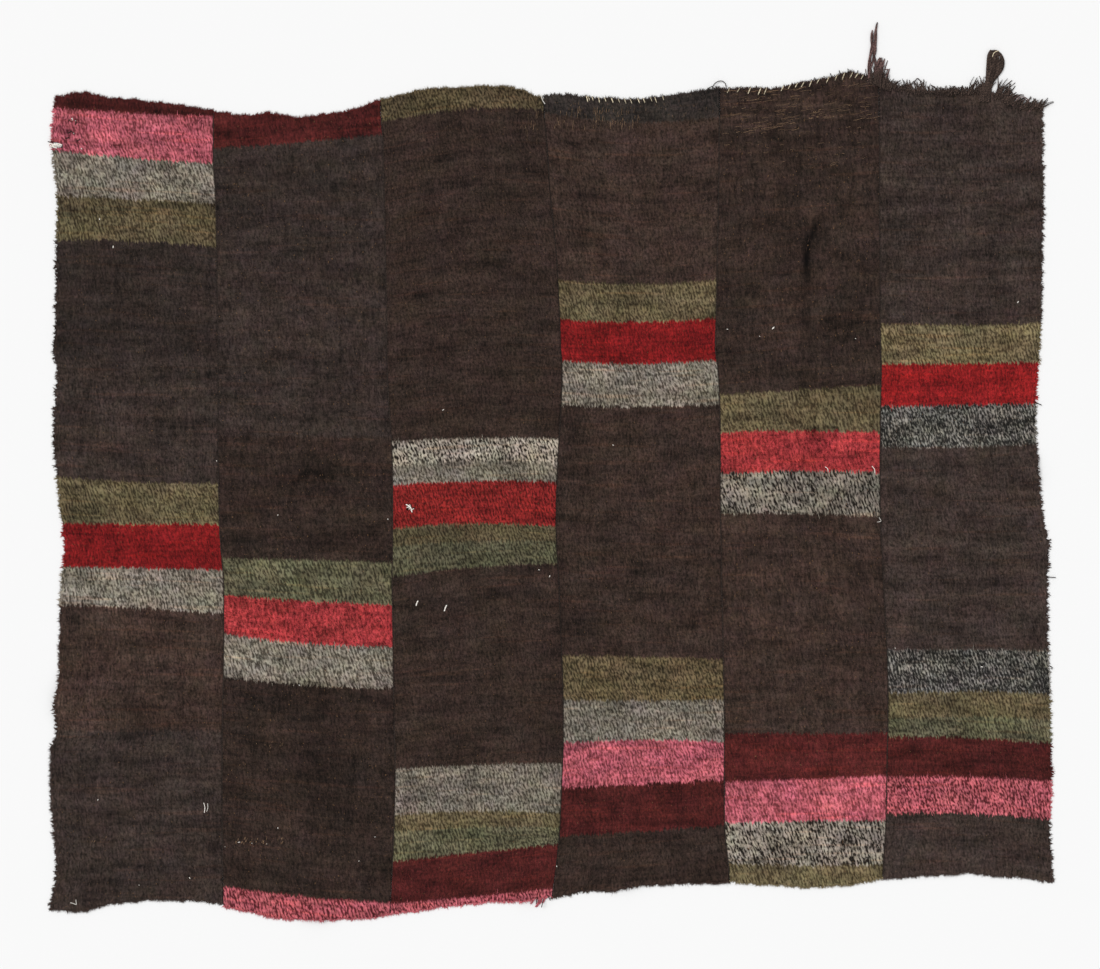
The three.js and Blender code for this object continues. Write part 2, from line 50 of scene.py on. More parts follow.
# Cloth sizes, in millimetres
CLOTH_THICKNESS = 3
SEAM_GAP = 0.3
ROW_PITCH = 30
HIGHEST_COMMON_ROW = 588
LOWEST_COMMON_ROW = -672
END_ROWS = 3
STRIP_WIDTH = 280
EDGE_ROUNDING = 2.2
EDGE_THICKNESS_SHARE = 0.45
LEAST_THICKNESS = 0.5
RIM_LIFT = 0.4
FLOOR_CLEARANCE = 0.02
COCKLES = 14
SELVEDGE_LOBE = 9.4
SELVEDGE_DEPTH = 4.4
SELVEDGE_MEAN = 0.65
RIGHT_LOBES_SHIFT = 400
FUZZ_ROOT = 1.2
EDGE_REACH = 14
PUCKER_REACH = 16
PUCKER_HEIGHT = 0.45

# Fineness of the sheets; the rounding steps are millimetres from an edge
COLUMNS = 50
FINE_ROWS = 14
UNDERSIDE_COLUMNS = 12
ROUNDING_STEPS = (0.5, 1.3, 2.6)
HOLE_POINTS = 14
NAP_FIBRES = 5200
END_FIBRES = 1200
SELVEDGE_FIBRES = 3000

# How far the prisms that cut the worn places reach below and above the floor, in millimetres
CUT_LOW = -20
CUT_HIGH = 40

# How many times a lock's yarns go round it
LOCK_TWIST = 0.6

# The sewing along a seam, in millimetres: the sunken yarn, and the small stitches across it
SEAM_LOW = -684
SEAM_HIGH = 604
SEAM_STEP = 5.0
STITCH_LOW = -680
STITCH_PITCH = 7.1
STITCHES = 180

# The look of the wool; the lengths are in metres, as the materials read them
EDGE_BLUR = 1.6 * MM
WALE_PITCH = 5.9 * MM
WALE_SHARE = 0.22
TWILL_SLOPE = 0.3
WOOL_SPECULAR = 0.08
SHEEN_ROUGHNESS = 0.6
TINT_SWINGS = (0.26, 0.19, 0.3)
PALE_PICK = (1.45, 1.22, 1.08, 1.0)
SPECK = (112, 84, 58)


def table(columns, *rows):
    """A short table: the names of its columns, then its rows."""
    return [dict(zip(columns.split(), row)) for row in rows]


# Sections across the blanket, from its fringed end down: the outer edges and the five seams.
SECTIONS = table(
    "y left seam12 seam23 seam34 seam45 seam56 right",
    (649, -842, -575, -291, -14, 286, 557, 832),
    (606, -847, -575, -290, -12, 286, 557, 834),
    (558, -852, -575, -286, -8, 285, 558, 836),
    (530, -847, -575, -286, -6, 285, 558, 835),
    (462, -841, -571, -284, -1, 284, 558, 836),
    (360, -842, -569, -282, 9, 282, 559, 835),
    (258, -844, -568, -280, 14, 280, 559, 833),
    (207, -847, -567, -280, 16, 279, 560, 830),
    (173, -841, -567, -279, 18, 283, 561, 828),
    (122, -844, -567, -277, 17, 286, 560, 824),
    (54, -847, -567, -272, 13, 287, 559, 825),
    (-28, -839, -566, -270, 9, 287, 559, 830),
    (-99, -832, -564, -270, 8, 288, 560, 840),
    (-132, -829, -562, -270, 9, 289, 562, 846),
    (-176, -833, -558, -271, 12, 289, 564, 844),
    (-252, -836, -557, -270, 15, 291, 568, 843),
    (-354, -839, -558, -269, 19, 293, 572, 847),
    (-399, -845, -559, -268, 20, 294, 572, 848),
    (-448, -842, -560, -267, 20, 294, 572, 849),
    (-470, -851, -560, -266, 20, 294, 571, 849),
    (-538, -852, -560, -266, 17, 294, 570, 851),
    (-609, -847, -560, -268, 14, 295, 568, 847),
    (-681, -842, -559, -271, 7, 302, 564, 851),
    (-735, -852, -558, -274, -2, 305, 565, 848),
)

STRIPS = table(
    "name top bottom from to",
    ("strip_1", "top1", "bottom1", "left", "seam12"),
    ("strip_2", "top2", "bottom2", "seam12", "seam23"),
    ("strip_3", "top3", "bottom3", "seam23", "seam34"),
    ("strip_4", "top4", "bottom4", "seam34", "seam45"),
    ("strip_5", "top5", "bottom5", "seam45", "seam56"),
    ("strip_6", "top6", "bottom6", "seam56", "right"),
)

# Where each strip's two ends lie, from its left edge (across 0) to its right edge (across 1).
TOP_ENDS = table(
    "across top1 top2 top3 top4 top5 top6",
    (0, 638, 612, 633, 640, 652, 662),
    (1 / 6, 644, 606, 643, 640, 652, 650),
    (2 / 6, 636, 609, 652, 635, 652, 647),
    (3 / 6, 632, 603, 652, 633, 660, 648),
    (4 / 6, 627, 607, 656, 637, 669, 646),
    (5 / 6, 621, 616, 651, 645, 678, 628),
    (1, 614, 631, 635, 652, 664, 622),
)
BOTTOM_ENDS = table(
    "across bottom1 bottom2 bottom3 bottom4 bottom5 bottom6",
    (0, -745, -739, -753, -725, -698, -693),
    (1 / 6, -748, -750, -747, -715, -701, -689),
    (2 / 6, -737, -760, -741, -713, -704, -686),
    (3 / 6, -730, -762, -735, -704, -706, -683),
    (4 / 6, -729, -762, -732, -702, -705, -688),
    (5 / 6, -730, -760, -730, -700, -700, -691),
    (1, -735, -754, -723, -700, -692, -698),
)

# Soft folds that lift the cloth off the floor: each is a rounded ridge from one place to another.
FOLDS = table(
    "x1 y1 x2 y2 lift reach",
    (462, 442, 443, 392, 7, 38),  # fifth strip, crease
    (443, 392, 434, 300, 6, 40),  # fifth strip, crease
    (434, 240, 438, -480, 4, 60),  # fifth strip, long fold
    (-440, -45, -388, 10, 6, 42),  # second strip, arch
    (-388, 10, -334, -32, 5, 42),  # second strip, arch
    (-422, 330, -420, -500, 3, 65),  # second strip, long fold
    (-520, -535, -430, -530, 5, 50),  # second strip, low fold
    (-425, -120, -370, -132, 4, 40),  # second strip, pucker
    (-830, -385, -740, -440, 8, 62),  # first strip, edge hump
    (-735, 260, -690, 200, 4, 80),  # first strip, hump
    (42, 80, 46, -290, 4, 44),  # seam three to four, ridge
    (110, 540, 190, 430, 5, 85),  # fourth strip, hump
    (-150, -240, -120, -300, 4, 90),  # third strip, hump
    (-30, -735, -60, -640, 5, 42),  # third strip, end ripple
    (130, -720, 150, -640, 4, 42),  # fourth strip, end ripple
    (606, -270, 612, -440, 5, 44),  # sixth strip, seam fold
    (700, -120, 720, -190, 4, 90),  # sixth strip, hump
    (850, -10, 790, 20, 5, 42),  # sixth strip, edge ripple
    (-400, -775, -395, -680, 5, 50),  # second strip, end ripple
)

# Narrow troughs and ridges too fine for the solids: depth is below the face, and minus is above it.
CREASES = table(
    "x1 y1 x2 y2 depth reach",
    (456, 438, 439, 396, 1.8, 6),  # fifth strip, sharp crease
    (439, 396, 434, 318, 1.6, 7),  # fifth strip, sharp crease
    (449, -90, 453, -430, 1.2, 16),  # fifth strip, fold's shaded side
    (-436, -38, -390, 4, 1.1, 10),  # second strip, arch
    (-390, 4, -340, -30, 1.0, 10),  # second strip, arch
    (-800, -350, -728, -400, -0.9, 18),  # first strip, hump's edge
)

# Colour bands of each strip, from the top down. The numbers are the height of the band's lower
# edge at the strip's left side, middle and right side; tone lightens or darkens the dye.
BAND_COLUMNS = "dye left mid right tone"
BANDS = {
    "strip_1": table(
        BAND_COLUMNS,
        ("maroon", 618, 609, 604, 0.9),
        ("pink", 547, 533, 524, 1.05),
        ("grey", 470, 463, 456, 1.0),
        ("olive", 394, 392, 382, 0.95),
        ("grey_brown", 190, 188, 186, 0.86),
        ("grey_brown", -9, -18, -20, 0.97),
        ("olive", -88, -89, -89, 1.05),
        ("crimson", -162, -164, -167, 1.0),
        ("grey", -227, -232, -242, 1.03),
        ("brown", -440, -440, -440, 1.03),
        ("grey_brown", -900, -900, -900, 0.98),
    ),
    "strip_2": table(
        BAND_COLUMNS,
        ("maroon", 550, 560, 575, 1.0),
        ("grey_brown", 340, 340, 340, 0.91),
        ("grey_brown", 60, 60, 60, 0.95),
        ("brown", -147, -150, -154, 0.86),
        ("green_olive", -210, -220, -227, 1.0),
        ("coral", -276, -292, -298, 1.0),
        ("grey", -349, -363, -368, 1.05),
        ("brown", -705, -723, -732, 0.86),
        ("cut_pink", -900, -900, -900, 0.95),
    ),
    "strip_3": table(
        BAND_COLUMNS,
        ("gold_olive", 594, 616, 616, 0.9),
        ("brown", 50, 57, 55, 0.9),
        ("light_grey", 11, 18, 16, 1.13),
        ("grey", -23, -16, -18, 0.99),
        ("red", -96, -88, -93, 1.0),
        ("olive", -128, -118, -118, 0.93),
        ("green_olive", -179, -162, -157, 0.88),
        ("brown", -506, -499, -496, 0.92),
        ("grey", -584, -577, -581, 1.0),
        ("olive", -612, -604, -606, 1.06),
        ("green_olive", -662, -647, -633, 1.01),
        ("maroon", -735, -723, -708, 1.0),
        ("cut_pink", -900, -900, -900, 1.0),
    ),
    "strip_4": table(
        BAND_COLUMNS,
        ("blackish", 611, 594, 604, 0.93),
        ("brown", 326, 319, 326, 1.0),
        ("olive", 258, 254, 261, 1.03),
        ("crimson", 188, 183, 190, 1.0),
        ("grey", 113, 111, 115, 1.04),
        ("brown", -312, -315, -319, 0.97),
        ("gold_olive", -388, -390, -388, 1.0),
        ("grey", -462, -456, -460, 1.0),
        ("pink", -538, -531, -524, 1.05),
        ("maroon", -620, -611, -601, 0.98),
        ("brown", -900, -900, -900, 0.88),
    ),
    "strip_5": table(
        BAND_COLUMNS,
        ("brown", 130, 139, 147, 0.9),
        ("olive", 67, 69, 67, 1.05),
        ("coral", -3, 1, -1, 1.0),
        ("light_grey", -72, -71, -77, 0.91),
        ("brown", -445, -445, -445, 1.0),
        ("maroon", -528, -523, -516, 1.08),
        ("pink", -598, -594, -594, 1.08),
        ("light_grey", -667, -669, -669, 1.0),
        ("olive", -900, -900, -900, 1.1),
    ),
    "strip_6": table(
        BAND_COLUMNS,
        ("grey_brown", 251, 249, 252, 1.02),
        ("olive", 183, 183, 186, 1.16),
        ("crimson", 111, 113, 116, 1.13),
        ("charcoal", 42, 42, 48, 1.0),
        ("grey_brown", -303, -303, -303, 1.05),
        ("charcoal", -377, -373, -378, 1.01),
        ("olive", -421, -417, -422, 1.05),
        ("green_olive", -450, -453, -463, 0.98),
        ("maroon", -519, -519, -526, 0.97),
        ("cut_pink", -582, -581, -592, 1.02),
        ("grey_brown", -900, -900, -900, 1.02),
    ),
}

# Dyed yarns: float is the colour of a weft float, gap is what shows between the floats, and twill
# is how clearly the twill shows through the nap. A cover over 0 gives more float and less gap, and
# cluster gathers the floats into patches.
DYES = {row["dye"]: row for row in table(
    "dye float gap twill cover cluster",
    ("brown", (74, 57, 50), (30, 23, 19), 0.3, 0, 0),
    ("grey_brown", (72, 59, 54), (31, 25, 22), 0.3, 0, 0),
    ("blackish", (68, 59, 55), (26, 25, 23), 0.25, 0, 0),
    ("charcoal", (140, 135, 127), (23, 22, 21), 0.9, -0.135, 0.5),
    ("maroon", (92, 37, 35), (46, 18, 17), 0.35, 0, 0),
    ("pink", (197, 103, 115), (96, 41, 46), 0.8, 0, 0),
    ("cut_pink", (201, 104, 113), (81, 31, 35), 1.0, 0, 0),
    ("crimson", (146, 32, 33), (70, 14, 15), 0.35, 0, 0),
    ("red", (158, 46, 44), (62, 16, 15), 0.65, 0, 0),
    ("coral", (194, 69, 71), (76, 18, 19), 0.35, 0, 0),
    ("grey", (147, 138, 125), (56, 50, 43), 0.85, 0, 0),
    ("light_grey", (158, 148, 134), (32, 27, 23), 1.0, 0, 0.15),
    ("olive", (113, 101, 75), (49, 41, 28), 0.85, 0, 0),
    ("gold_olive", (113, 98, 72), (46, 39, 26), 0.9, 0, 0),
    ("green_olive", (113, 109, 84), (48, 45, 33), 0.9, 0, 0),
)}

# The noises in the cloth: what each follows, its grain across and along per metre, and its kind.
TWILL_NOISES = table(
    "name place grain_x grain_y seed detail rough",
    ("floats", "leaning", 380, 178, 5, 0.0, 0.5),
    ("dash", "leaning", 110, 80, 11, 4.0, 0.85),
    ("grain", "wandering", 240, 190, 17, 3.0, 0.9),
    ("hair", "wandering", 340, 50, 23, 1.0, 0.6),
    ("speck", "wandering", 520, 260, 83, 0.0, 0.5),
    ("pick", "woven", 9, 240, 31, 1.0, 0.5),
    ("patch", "woven", 13, 44, 47, 4.0, 0.65),
    ("streak", "woven", 50, 12, 59, 2.0, 0.6),
    ("pale_pick", "woven", 7, 150, 89, 1.0, 0.5),
)

# Broad soft places painted darker (minus) or lighter into the cloth's colour: painted shade and light along
# its folds, creases, seams and the first strip's rolled top end, and real weft streaks, worn specks and tone
# differences.
PAINTED_SHADE_AND_TONE = table(
    "x y reach_x reach_y turn amount",
    (-775, 622, 60, 4, -4, -0.4),
    (-660, 614, 60, 4, -5, -0.4),
    (-822, 578, 9, 7, 0, -0.6),
    (-810, 560, 6, 4, 0, -0.5),
    (-672, 611, 6, 5, 0, -0.6),
    (-645, 598, 5, 9, 0, -0.6),
    (-625, 606, 5, 6, 0, -0.5),
    (447, 412, 28, 6, 64, -0.66),
    (437, 380, 30, 6, 77, -0.5),
    (434, 350, 36, 7, 90, -0.58),
    (424, 345, 60, 16, 88, -0.18),
    (433, 258, 60, 12, 88, -0.27),
    (405, 485, 110, 22, 90, -0.23),
    (349, 479, 28, 9, 0, 0.29),
    (-445, -14, 62, 24, 0, -0.29),
    (-390, -2, 44, 17, -8, -0.36),
    (-424, -9, 18, 6, 40, -0.45),
    (-392, -6, 22, 6, -24, -0.4),
    (-385, -116, 36, 16, 0, -0.43),
    (-360, -40, 28, 11, 0, -0.36),
    (-385, -473, 120, 40, 90, -0.20),
    (-427, -380, 60, 20, 0, -0.18),
    (-776, 240, 52, 30, 0, -0.23),
    (-750, 376, 90, 20, 0, -0.18),
    (-801, -405, 42, 60, 0, 0.31),
    (-750, -261, 62, 26, 0, 0.22),
    (-53, 546, 42, 60, 0, -0.16),
    (40, 53, 80, 22, 90, -0.25),
    (48, -252, 52, 28, 90, -0.29),
    (150, 351, 92, 22, 0, 0.14),
    (473, -218, 62, 20, 90, 0.16),
    (796, 538, 22, 12, 0, 0.25),
    (-767, -694, 120, 26, 0, -0.18),
    (-700, -300, 130, 90, 0, 0.09),
    (380, 622, 90, 3.2, 1, 0.5),
    (430, 604, 110, 2.8, 0, 0.42),
    (350, 588, 60, 2.6, 0, 0.5),
    (470, 577, 80, 3.2, -1, 0.36),
    (360, 612, 60, 5, 0, -0.3),
    (480, 590, 60, 6, 0, -0.25),
    (400, 650, 140, 9, 2, -0.2),
    (400, 566, 90, 3, 1, -0.2),
    (330, 494, 28, 4, 0, 0.32),
    (-120, 428, 90, 5, 1, -0.22),
    (-150, 352, 110, 5, 0, -0.2),
    (-170, 520, 22, 6, 0, 0.22),
    (150, -652, 110, 4, 1, 0.16),
    (170, -676, 100, 4, -1, -0.2),
    (-700, -640, 110, 5, 2, -0.16),
    (-660, -662, 90, 4, -2, 0.14),
    (-430, -600, 100, 4, 1, 0.18),
    (-420, -684, 110, 5, 0, -0.18),
    (690, 330, 110, 5, 0, 0.12),
    (14, -190, 210, 8, 90, -0.2),
    (205, 612, 90, 14, 2, -0.13),
    (40, 604, 60, 10, 0, -0.1),
    (12, -570, 140, 8, 90, -0.2),
    (-36, 190, 60, 20, 90, -0.12),
    (-419, 350, 55, 34, 0, -0.14),
    (-465, -558, 50, 24, 0, -0.14),
    (363, 394, 44, 30, 0, -0.12),
    (57, 400, 34, 24, 0, 0.14),
    (57, 574, 34, 14, 0, 0.2),
    (771, 325, 40, 20, 0, 0.15),
    (778, 56, 46, 6, 0, 0.3),
    (700, 60, 30, 5, 0, 0.2),
    (601, -354, 26, 20, 0, 0.18),
    (533, -620, 24, 40, 0, 0.15),
    (330, -656, 60, 14, 0, 0.18),
    (-832, -405, 14, 46, 0, 0.22),
    (-22, -58, 16, 40, 0, 0.11),
    (385, 36, 34, 10, 90, -0.1),
    (446, 42, 40, 10, 90, -0.09),
    (440, 102, 30, 14, 90, -0.15),
    (525, 60, 90, 22, 90, 0.1),
    (-500, -253, 50, 28, 0, 0.08),
    (-815, 562, 26, 22, 0, 0.09),
    (-812, -128, 34, 38, 0, 0.13),
    (696, 99, 150, 9, 0, -0.13),
    (696, 53, 150, 7, 0, 0.11),
    (625, 78, 30, 28, 0, -0.11),
    (700, -349, 150, 8, 0, 0.13),
)

WEAR_HOLES = table(
    "x y width length turn",
    (-243, -61, 3.8, 12, 33),
    (-236, -62.5, 3, 5, 10),
)
# The slot worn into the first strip's selvedge, as a ring of places.
SELVEDGE_BITE = [
    (-870, 560), (-850, 559), (-843, 560), (-836, 558), (-831, 556), (-832, 552),
    (-838, 550), (-842, 551.5), (-850, 548.5), (-870, 548),
]

# The raw warp ends along the top of the sixth strip; lean is degrees towards +X.
FRINGE_ZONES = table(
    "start end shortest longest lean thick",
    (572, 602, 8, 13, 32, 1),
    (602, 640, 9, 16, -4, 1),
    (640, 714, 5, 8, 0, 1),
    (706, 742, 10, 19, 20, 1),
    (728, 746, 16, 24, 6, 1),
    (752, 778, 6, 16, 22, 1.3),
    (752, 775, 14, 26, 20, 1.4),
    (760, 782, 8, 19, 44, 1.4),
    (778, 804, 8, 14, 55, 1.3),
    (800, 829, 5, 11, 30, 1.1),
    (823, 834, 9, 16, 46, 1),
)

# Locks of the corner tassel, each along its middle line.
TASSEL_LOCKS = [
    table("x y width", (539, 660, 8), (540.5, 684, 8), (544, 702, 12), (547, 719, 13), (548, 733, 10)),
    table("x y width", (546, 716, 5.6), (545.2, 731, 5.6), (544.8, 743, 4.8), (545.8, 752, 2)),
    table("x y width", (549, 712, 7), (550.4, 731, 6.4), (551, 744, 5.4), (552.6, 756, 4), (554.6, 766, 1.4)),
    table("x y width", (555, 655, 18), (555.5, 678, 16), (558, 694, 11), (559.5, 706, 7)),
    table("x y width", (550, 668, 5), (551, 690, 4.6), (549, 708, 4)),
    table("x y width", (560, 668, 4), (563, 688, 3), (567, 704, 1.4)),
]
TASSEL_WISPS = [
    table("x y width", (567.6, 664, 2), (570, 672, 1.8), (573, 681, 1.4), (573.4, 684, 1.2), (569, 686, 0.8)),
    table("x y width", (566, 652, 1.6), (571, 666, 1.4), (574, 680, 1.2), (575.6, 688, 0.8)),
    table("x y width", (536.4, 662, 2.6), (535.4, 676, 2), (533.6, 687, 1)),
    table("x y width", (561, 660, 1.6), (566, 680, 1.2), (573, 704, 0.8)),
]
TUFT = {"left": 534, "middle": 557, "right": 576, "top": 699, "strands": 170}

# The sides of the folded warp loop at each height.
LOOP_ROWS = table(
    "y left right",
    (628, 724, 748),
    (644, 731, 748),
    (653, 735, 748.5),
    (662, 738, 751.5),
    (673, 739, 759.5),
    (685, 739.6, 767.5),
    (697, 740.4, 770),
    (706, 741, 767.5),
    (712, 742.5, 763.5),
    (717, 746, 756.5),
)
LOOP_YARNS = 18
LOOP_SLIT = [(760, 715), (755.5, 714), (751, 710.5), (749, 704)]

# Whip stitches of cream yarn over the tops of the fourth and fifth strips, by their places across.
WHIP_STITCHES = table(
    "strip lean fall places",
    (3, -3.2, 10, (62, 65, 71, 82, 93, 105, 116, 127, 137, 150, 159, 171, 179, 191)),
    (4, 5, 11, (298, 315, 334, 351, 361, 390, 402, 414, 424, 438, 451, 467, 482, 494, 507, 516, 526)),
)

# Zones of faded single yarns on the face: their places, turn from level, lengths and number.
STRAY_YARNS = table(
    "strip left right low high turn shortest longest thickness count",
    (5, 296, 548, 596, 662, 7, 6, 34, 1, 150),
    (5, 315, 420, 576, 604, 9, 8, 36, 1.1, 34),
    (5, 296, 540, 520, 592, 3, 4, 16, 1, 46),
    (5, 430, 462, 600, 616, 5, 4, 9, 1.6, 14),
    (4, 4, 150, 582, 616, 88, 5, 15, 1.3, 90),
    (4, 20, 280, 602, 628, 92, 3, 8, 1, 30),
    (3, -60, -22, 560, 625, 84, 6, 18, 1, 24),
    (2, -541, -453, -633, -623, 80, 2, 6, 2.6, 26),
    (2, -502, -456, -471, -459, 80, 1.5, 4, 1.8, 12),
    (1, -796, -752, -630, -620, 80, 1.5, 4, 1.8, 13),
)

# White lint on the face, and short pale threads.
LINT = table(
    "x y size",
    (-531, -630, 1.1), (-509, -632, 0.7), (-484, -633, 0.7), (-555, -638, 0.6), (-465, -606, 1),
    (-327, -662, 0.8), (-300, -621, 0.8), (-771, -558, 1), (-701, -703, 1), (-615, -691, 1),
    (-278, -81, 1), (-21, -167, 1), (-3, -178, 1.0), (-745, 382, 1.3), (-768, 429, 1.2),
    (793, 288, 1.3), (377, 244, 1.5), (-569, 18, 1), (-465, -74, 1), (-428, -363, 1),
    (-184, 105, 1), (105, 45, 1), (9, -671, 1), (584, -300, 1), (732, -332, 1),
    (-799, 549, 1.2), (-814, 598, 1), (-809, 596, 1), (-812, 575, 1), (-815, 600, 1),
    (299, 242, 0.8), (354, 230, 0.7), (517, 226, 0.7),
)
PALE_THREADS = [
    [(-591, -563), (-589, -571), (-590, -580)],
    [(-584.5, -564), (-584, -571), (-586, -578)],
    [(-818, -733), (-813, -734), (-808, -736), (-808, -732), (-808.5, -728)],
    [(-18, 640), (-15, 631), (-11, 625)],
    [(465, 8), (469, 5), (470, 0)],
    [(545, 9), (549, 4), (550, -3)],
    [(557, -78), (560, -84), (554, -86)],
]
# White fluff in the slot of the first strip's selvedge, at the worn hole and in the third strip.
WHITE_FLUFF = [
    [(-854, 558), (-846, 556), (-838, 557), (-832, 555)],
    [(-851, 551), (-843, 554), (-836, 552)],
    [(-849, 555), (-842, 553), (-835, 555)],
    [(-845, 558), (-840, 555), (-834, 553)],
    [(-852, 554), (-847, 552), (-841, 550)],
    [(-247, -56), (-243, -58), (-239, -62), (-237, -69)],
    [(-241, -56), (-240, -60), (-242, -64)],
    [(-246, -61), (-241, -60)],
    [(-239, -66), (-234, -63)],
    [(-227, -220), (-229, -224), (-230, -228)],
    [(-178, -227), (-180, -231), (-182, -237)],
]
# Dark threads that stand clear of the outline or lie on the face.
DARK_THREADS = [
    [(840, -178), (847, -179.5), (857, -180)],
    [(820, 119), (826, 116), (833, 113)],
    [(846, -330), (851, -333), (850, -336)],
    [(-856, 561), (-851, 560), (-847, 561)],
    [(-820, 598), (-816, 594)],
    [(-810, 590), (-806, 594)],
    [(-822, 575), (-816, 578), (-811, 574)],
    [(-826, 566), (-820, 568)],
    [(-807, 562), (-801, 565)],
    [(273, 648), (275, 656), (281, 662), (289, 664), (295, 660), (297, 654)],
    [(262, 644), (266, 651), (274, 655)],
    [(478, 664), (474, 677)],
    [(492, 668), (489, 682)],
    [(505, 670), (504, 685)],
    [(518, 669), (521, 682)],
    [(528, 664), (532, 677)],
    [(452, 660), (447, 670)],
    [(528, 646), (533, 650), (531, 655)],
    [(-24, -722), (-26, -734)],
    [(-14, -728), (-17, -740)],
    [(-6, -720), (-2, -729)],
]
# Brown yarns that curl out of the sixth strip's right corner and out of the tuft.
CURLED_ENDS = [
    [(784, 622), (792, 633), (800, 637), (808, 634), (813, 626)],
    [(788, 618), (797, 629), (807, 631), (815, 622)],
    [(782, 626), (786, 634), (795, 640), (803, 640)],
    [(796, 618), (804, 625), (811, 624)],
    [(812, 612), (822, 621), (831, 625)],
    [(566, 664), (571, 676), (573, 683), (567, 684)],
    [(620, 648), (617, 660), (622, 668), (628, 663)],
    [(655, 640), (652, 652), (645, 657)],
]
# The pink tuft that hangs out of the third strip's end.
PINK_LOCKS = [
    table("x y width", (-17, -718, 7), (-21, -729, 10), (-25, -737, 8), (-28, -743, 3)),
    table("x y width", (-11, -718, 6), (-13, -728, 6), (-16, -736, 3)),
    table("x y width", (-30, -722, 5), (-33, -731, 5), (-36, -737, 2)),
]


def scatter(n):
    """A repeatable number from 0 to 1 for the n-th thing of a kind."""
    wave = np.sin(np.asarray(n, float) * 12.9898) * 43758.5453
    return wave - np.floor(wave)


def smooth_at(source, key, column, at):
    """A smooth curve through a table's rows, read at one or many places."""
    rows = sorted(source, key=lambda row: row[key])
    places = np.array([row[key] for row in rows], float)
    values = np.array([row[column] for row in rows], float)
    at = np.asarray(at, float)
    i = np.clip(np.searchsorted(places, at, side="right") - 1, 0, len(places) - 2)
    before = np.maximum(i - 1, 0)
    after = np.minimum(i + 2, len(places) - 1)
    span = places[i + 1] - places[i]
    t = np.clip((at - places[i]) / span, 0, 1)
    slope_in = (values[i + 1] - values[before]) / (places[i + 1] - places[before]) * span
    slope_out = (values[after] - values[i]) / (places[after] - places[i]) * span
    t2 = t * t
    t3 = t2 * t
    start = (2 * t3 - 3 * t2 + 1) * values[i] + (t3 - 2 * t2 + t) * slope_in
    return start + (3 * t2 - 2 * t3) * values[i + 1] + (t3 - t2) * slope_out


def distance_to(line, x, y):
    """How far a place is from the nearest place on a line."""
    along_x = line["x2"] - line["x1"]
    along_y = line["y2"] - line["y1"]
    part = ((x - line["x1"]) * along_x + (y - line["y1"]) * along_y) / (along_x ** 2 + along_y ** 2)
    t = np.clip(part, 0, 1)
    return np.hypot(x - line["x1"] - t * along_x, y - line["y1"] - t * along_y)


def rise_over(line, x, y):
    """A rounded rise over a line: 1 along the line, and 0 from its reach outwards."""
    away = np.minimum(distance_to(line, x, y) / line["reach"], 1)
    return 0.5 * (1 + np.cos(math.pi * away))


def lift_at(x, y):
    """How far the folds lift the cloth off the floor."""
    lift = np.zeros_like(x)
    for fold in FOLDS:
        lift = np.maximum(lift, fold["lift"] * rise_over(fold, x, y))
    return lift


def crease_at(x, y):
    """How far the face lies lower in the narrow creases."""
    depth = np.zeros_like(x)
    for crease in CREASES:
        depth += crease["depth"] * rise_over(crease, x, y)
    return depth


def unevenness_at(x, y):
    """The slight cockling of handwoven cloth, from waves of several lengths and directions."""
    waves = np.zeros_like(x)
    for n in range(COCKLES):
        turn = 2 * math.pi * scatter(n + 0.5)
        length = 34 + 90 * scatter(n + 40.5)
        phase = 2 * math.pi * scatter(n + 80.5)
        size = 0.055 + 0.0011 * length
        waves += size * np.sin((x * math.cos(turn) + y * math.sin(turn)) * 2 * math.pi / length + phase)
    return waves


def height_of_face(x, y):
    """How high the cloth's upper face lies at a place on the plan."""
    x = np.asarray(x, float)
    y = np.asarray(y, float)
    return lift_at(x, y) + CLOTH_THICKNESS + unevenness_at(x, y) - crease_at(x, y)


def strip_sides(strip, y):
    """Where a strip's left and right sides lie at a height on the plan."""
    inset_left = 0 if strip["from"] == "left" else SEAM_GAP / 2
    inset_right = 0 if strip["to"] == "right" else SEAM_GAP / 2
    left = smooth_at(SECTIONS, "y", strip["from"], y) + inset_left
    right = smooth_at(SECTIONS, "y", strip["to"], y) - inset_right
    return left, right


def row_count():
    return 2 * END_ROWS + (HIGHEST_COMMON_ROW - LOWEST_COMMON_ROW) // ROW_PITCH


def strip_ends(strip, across):
    """Where a strip's bottom and top ends lie at places across it."""
    bottom = smooth_at(BOTTOM_ENDS, "across", strip["bottom"], across)
    return bottom, smooth_at(TOP_ENDS, "across", strip["top"], across)


def row_height(strip, row, across):
    """Rows are level in the middle of a strip and bend to the curves of its two ends."""
    common_rows = row_count() - 2 * END_ROWS
    bottom, top = strip_ends(strip, across)
    low = bottom + (row / END_ROWS) * (LOWEST_COMMON_ROW - bottom)
    high_part = (row - END_ROWS - common_rows) / END_ROWS
    high = HIGHEST_COMMON_ROW + high_part * (top - HIGHEST_COMMON_ROW)
    level = LOWEST_COMMON_ROW + (row - END_ROWS) * ROW_PITCH
    return np.where(row < END_ROWS, low, np.where(row > END_ROWS + common_rows, high, level))


def grid_point(strip, row, across):
    """The place on the plan of a point given by its row and its share of the way across."""
    whole = np.minimum(np.floor(row), row_count() - 1)
    below = row_height(strip, whole, across)
    above = row_height(strip, whole + 1, across)
    y = below + (row - whole) * (above - below)
    left, right = strip_sides(strip, y)
    return left + across * (right - left), y


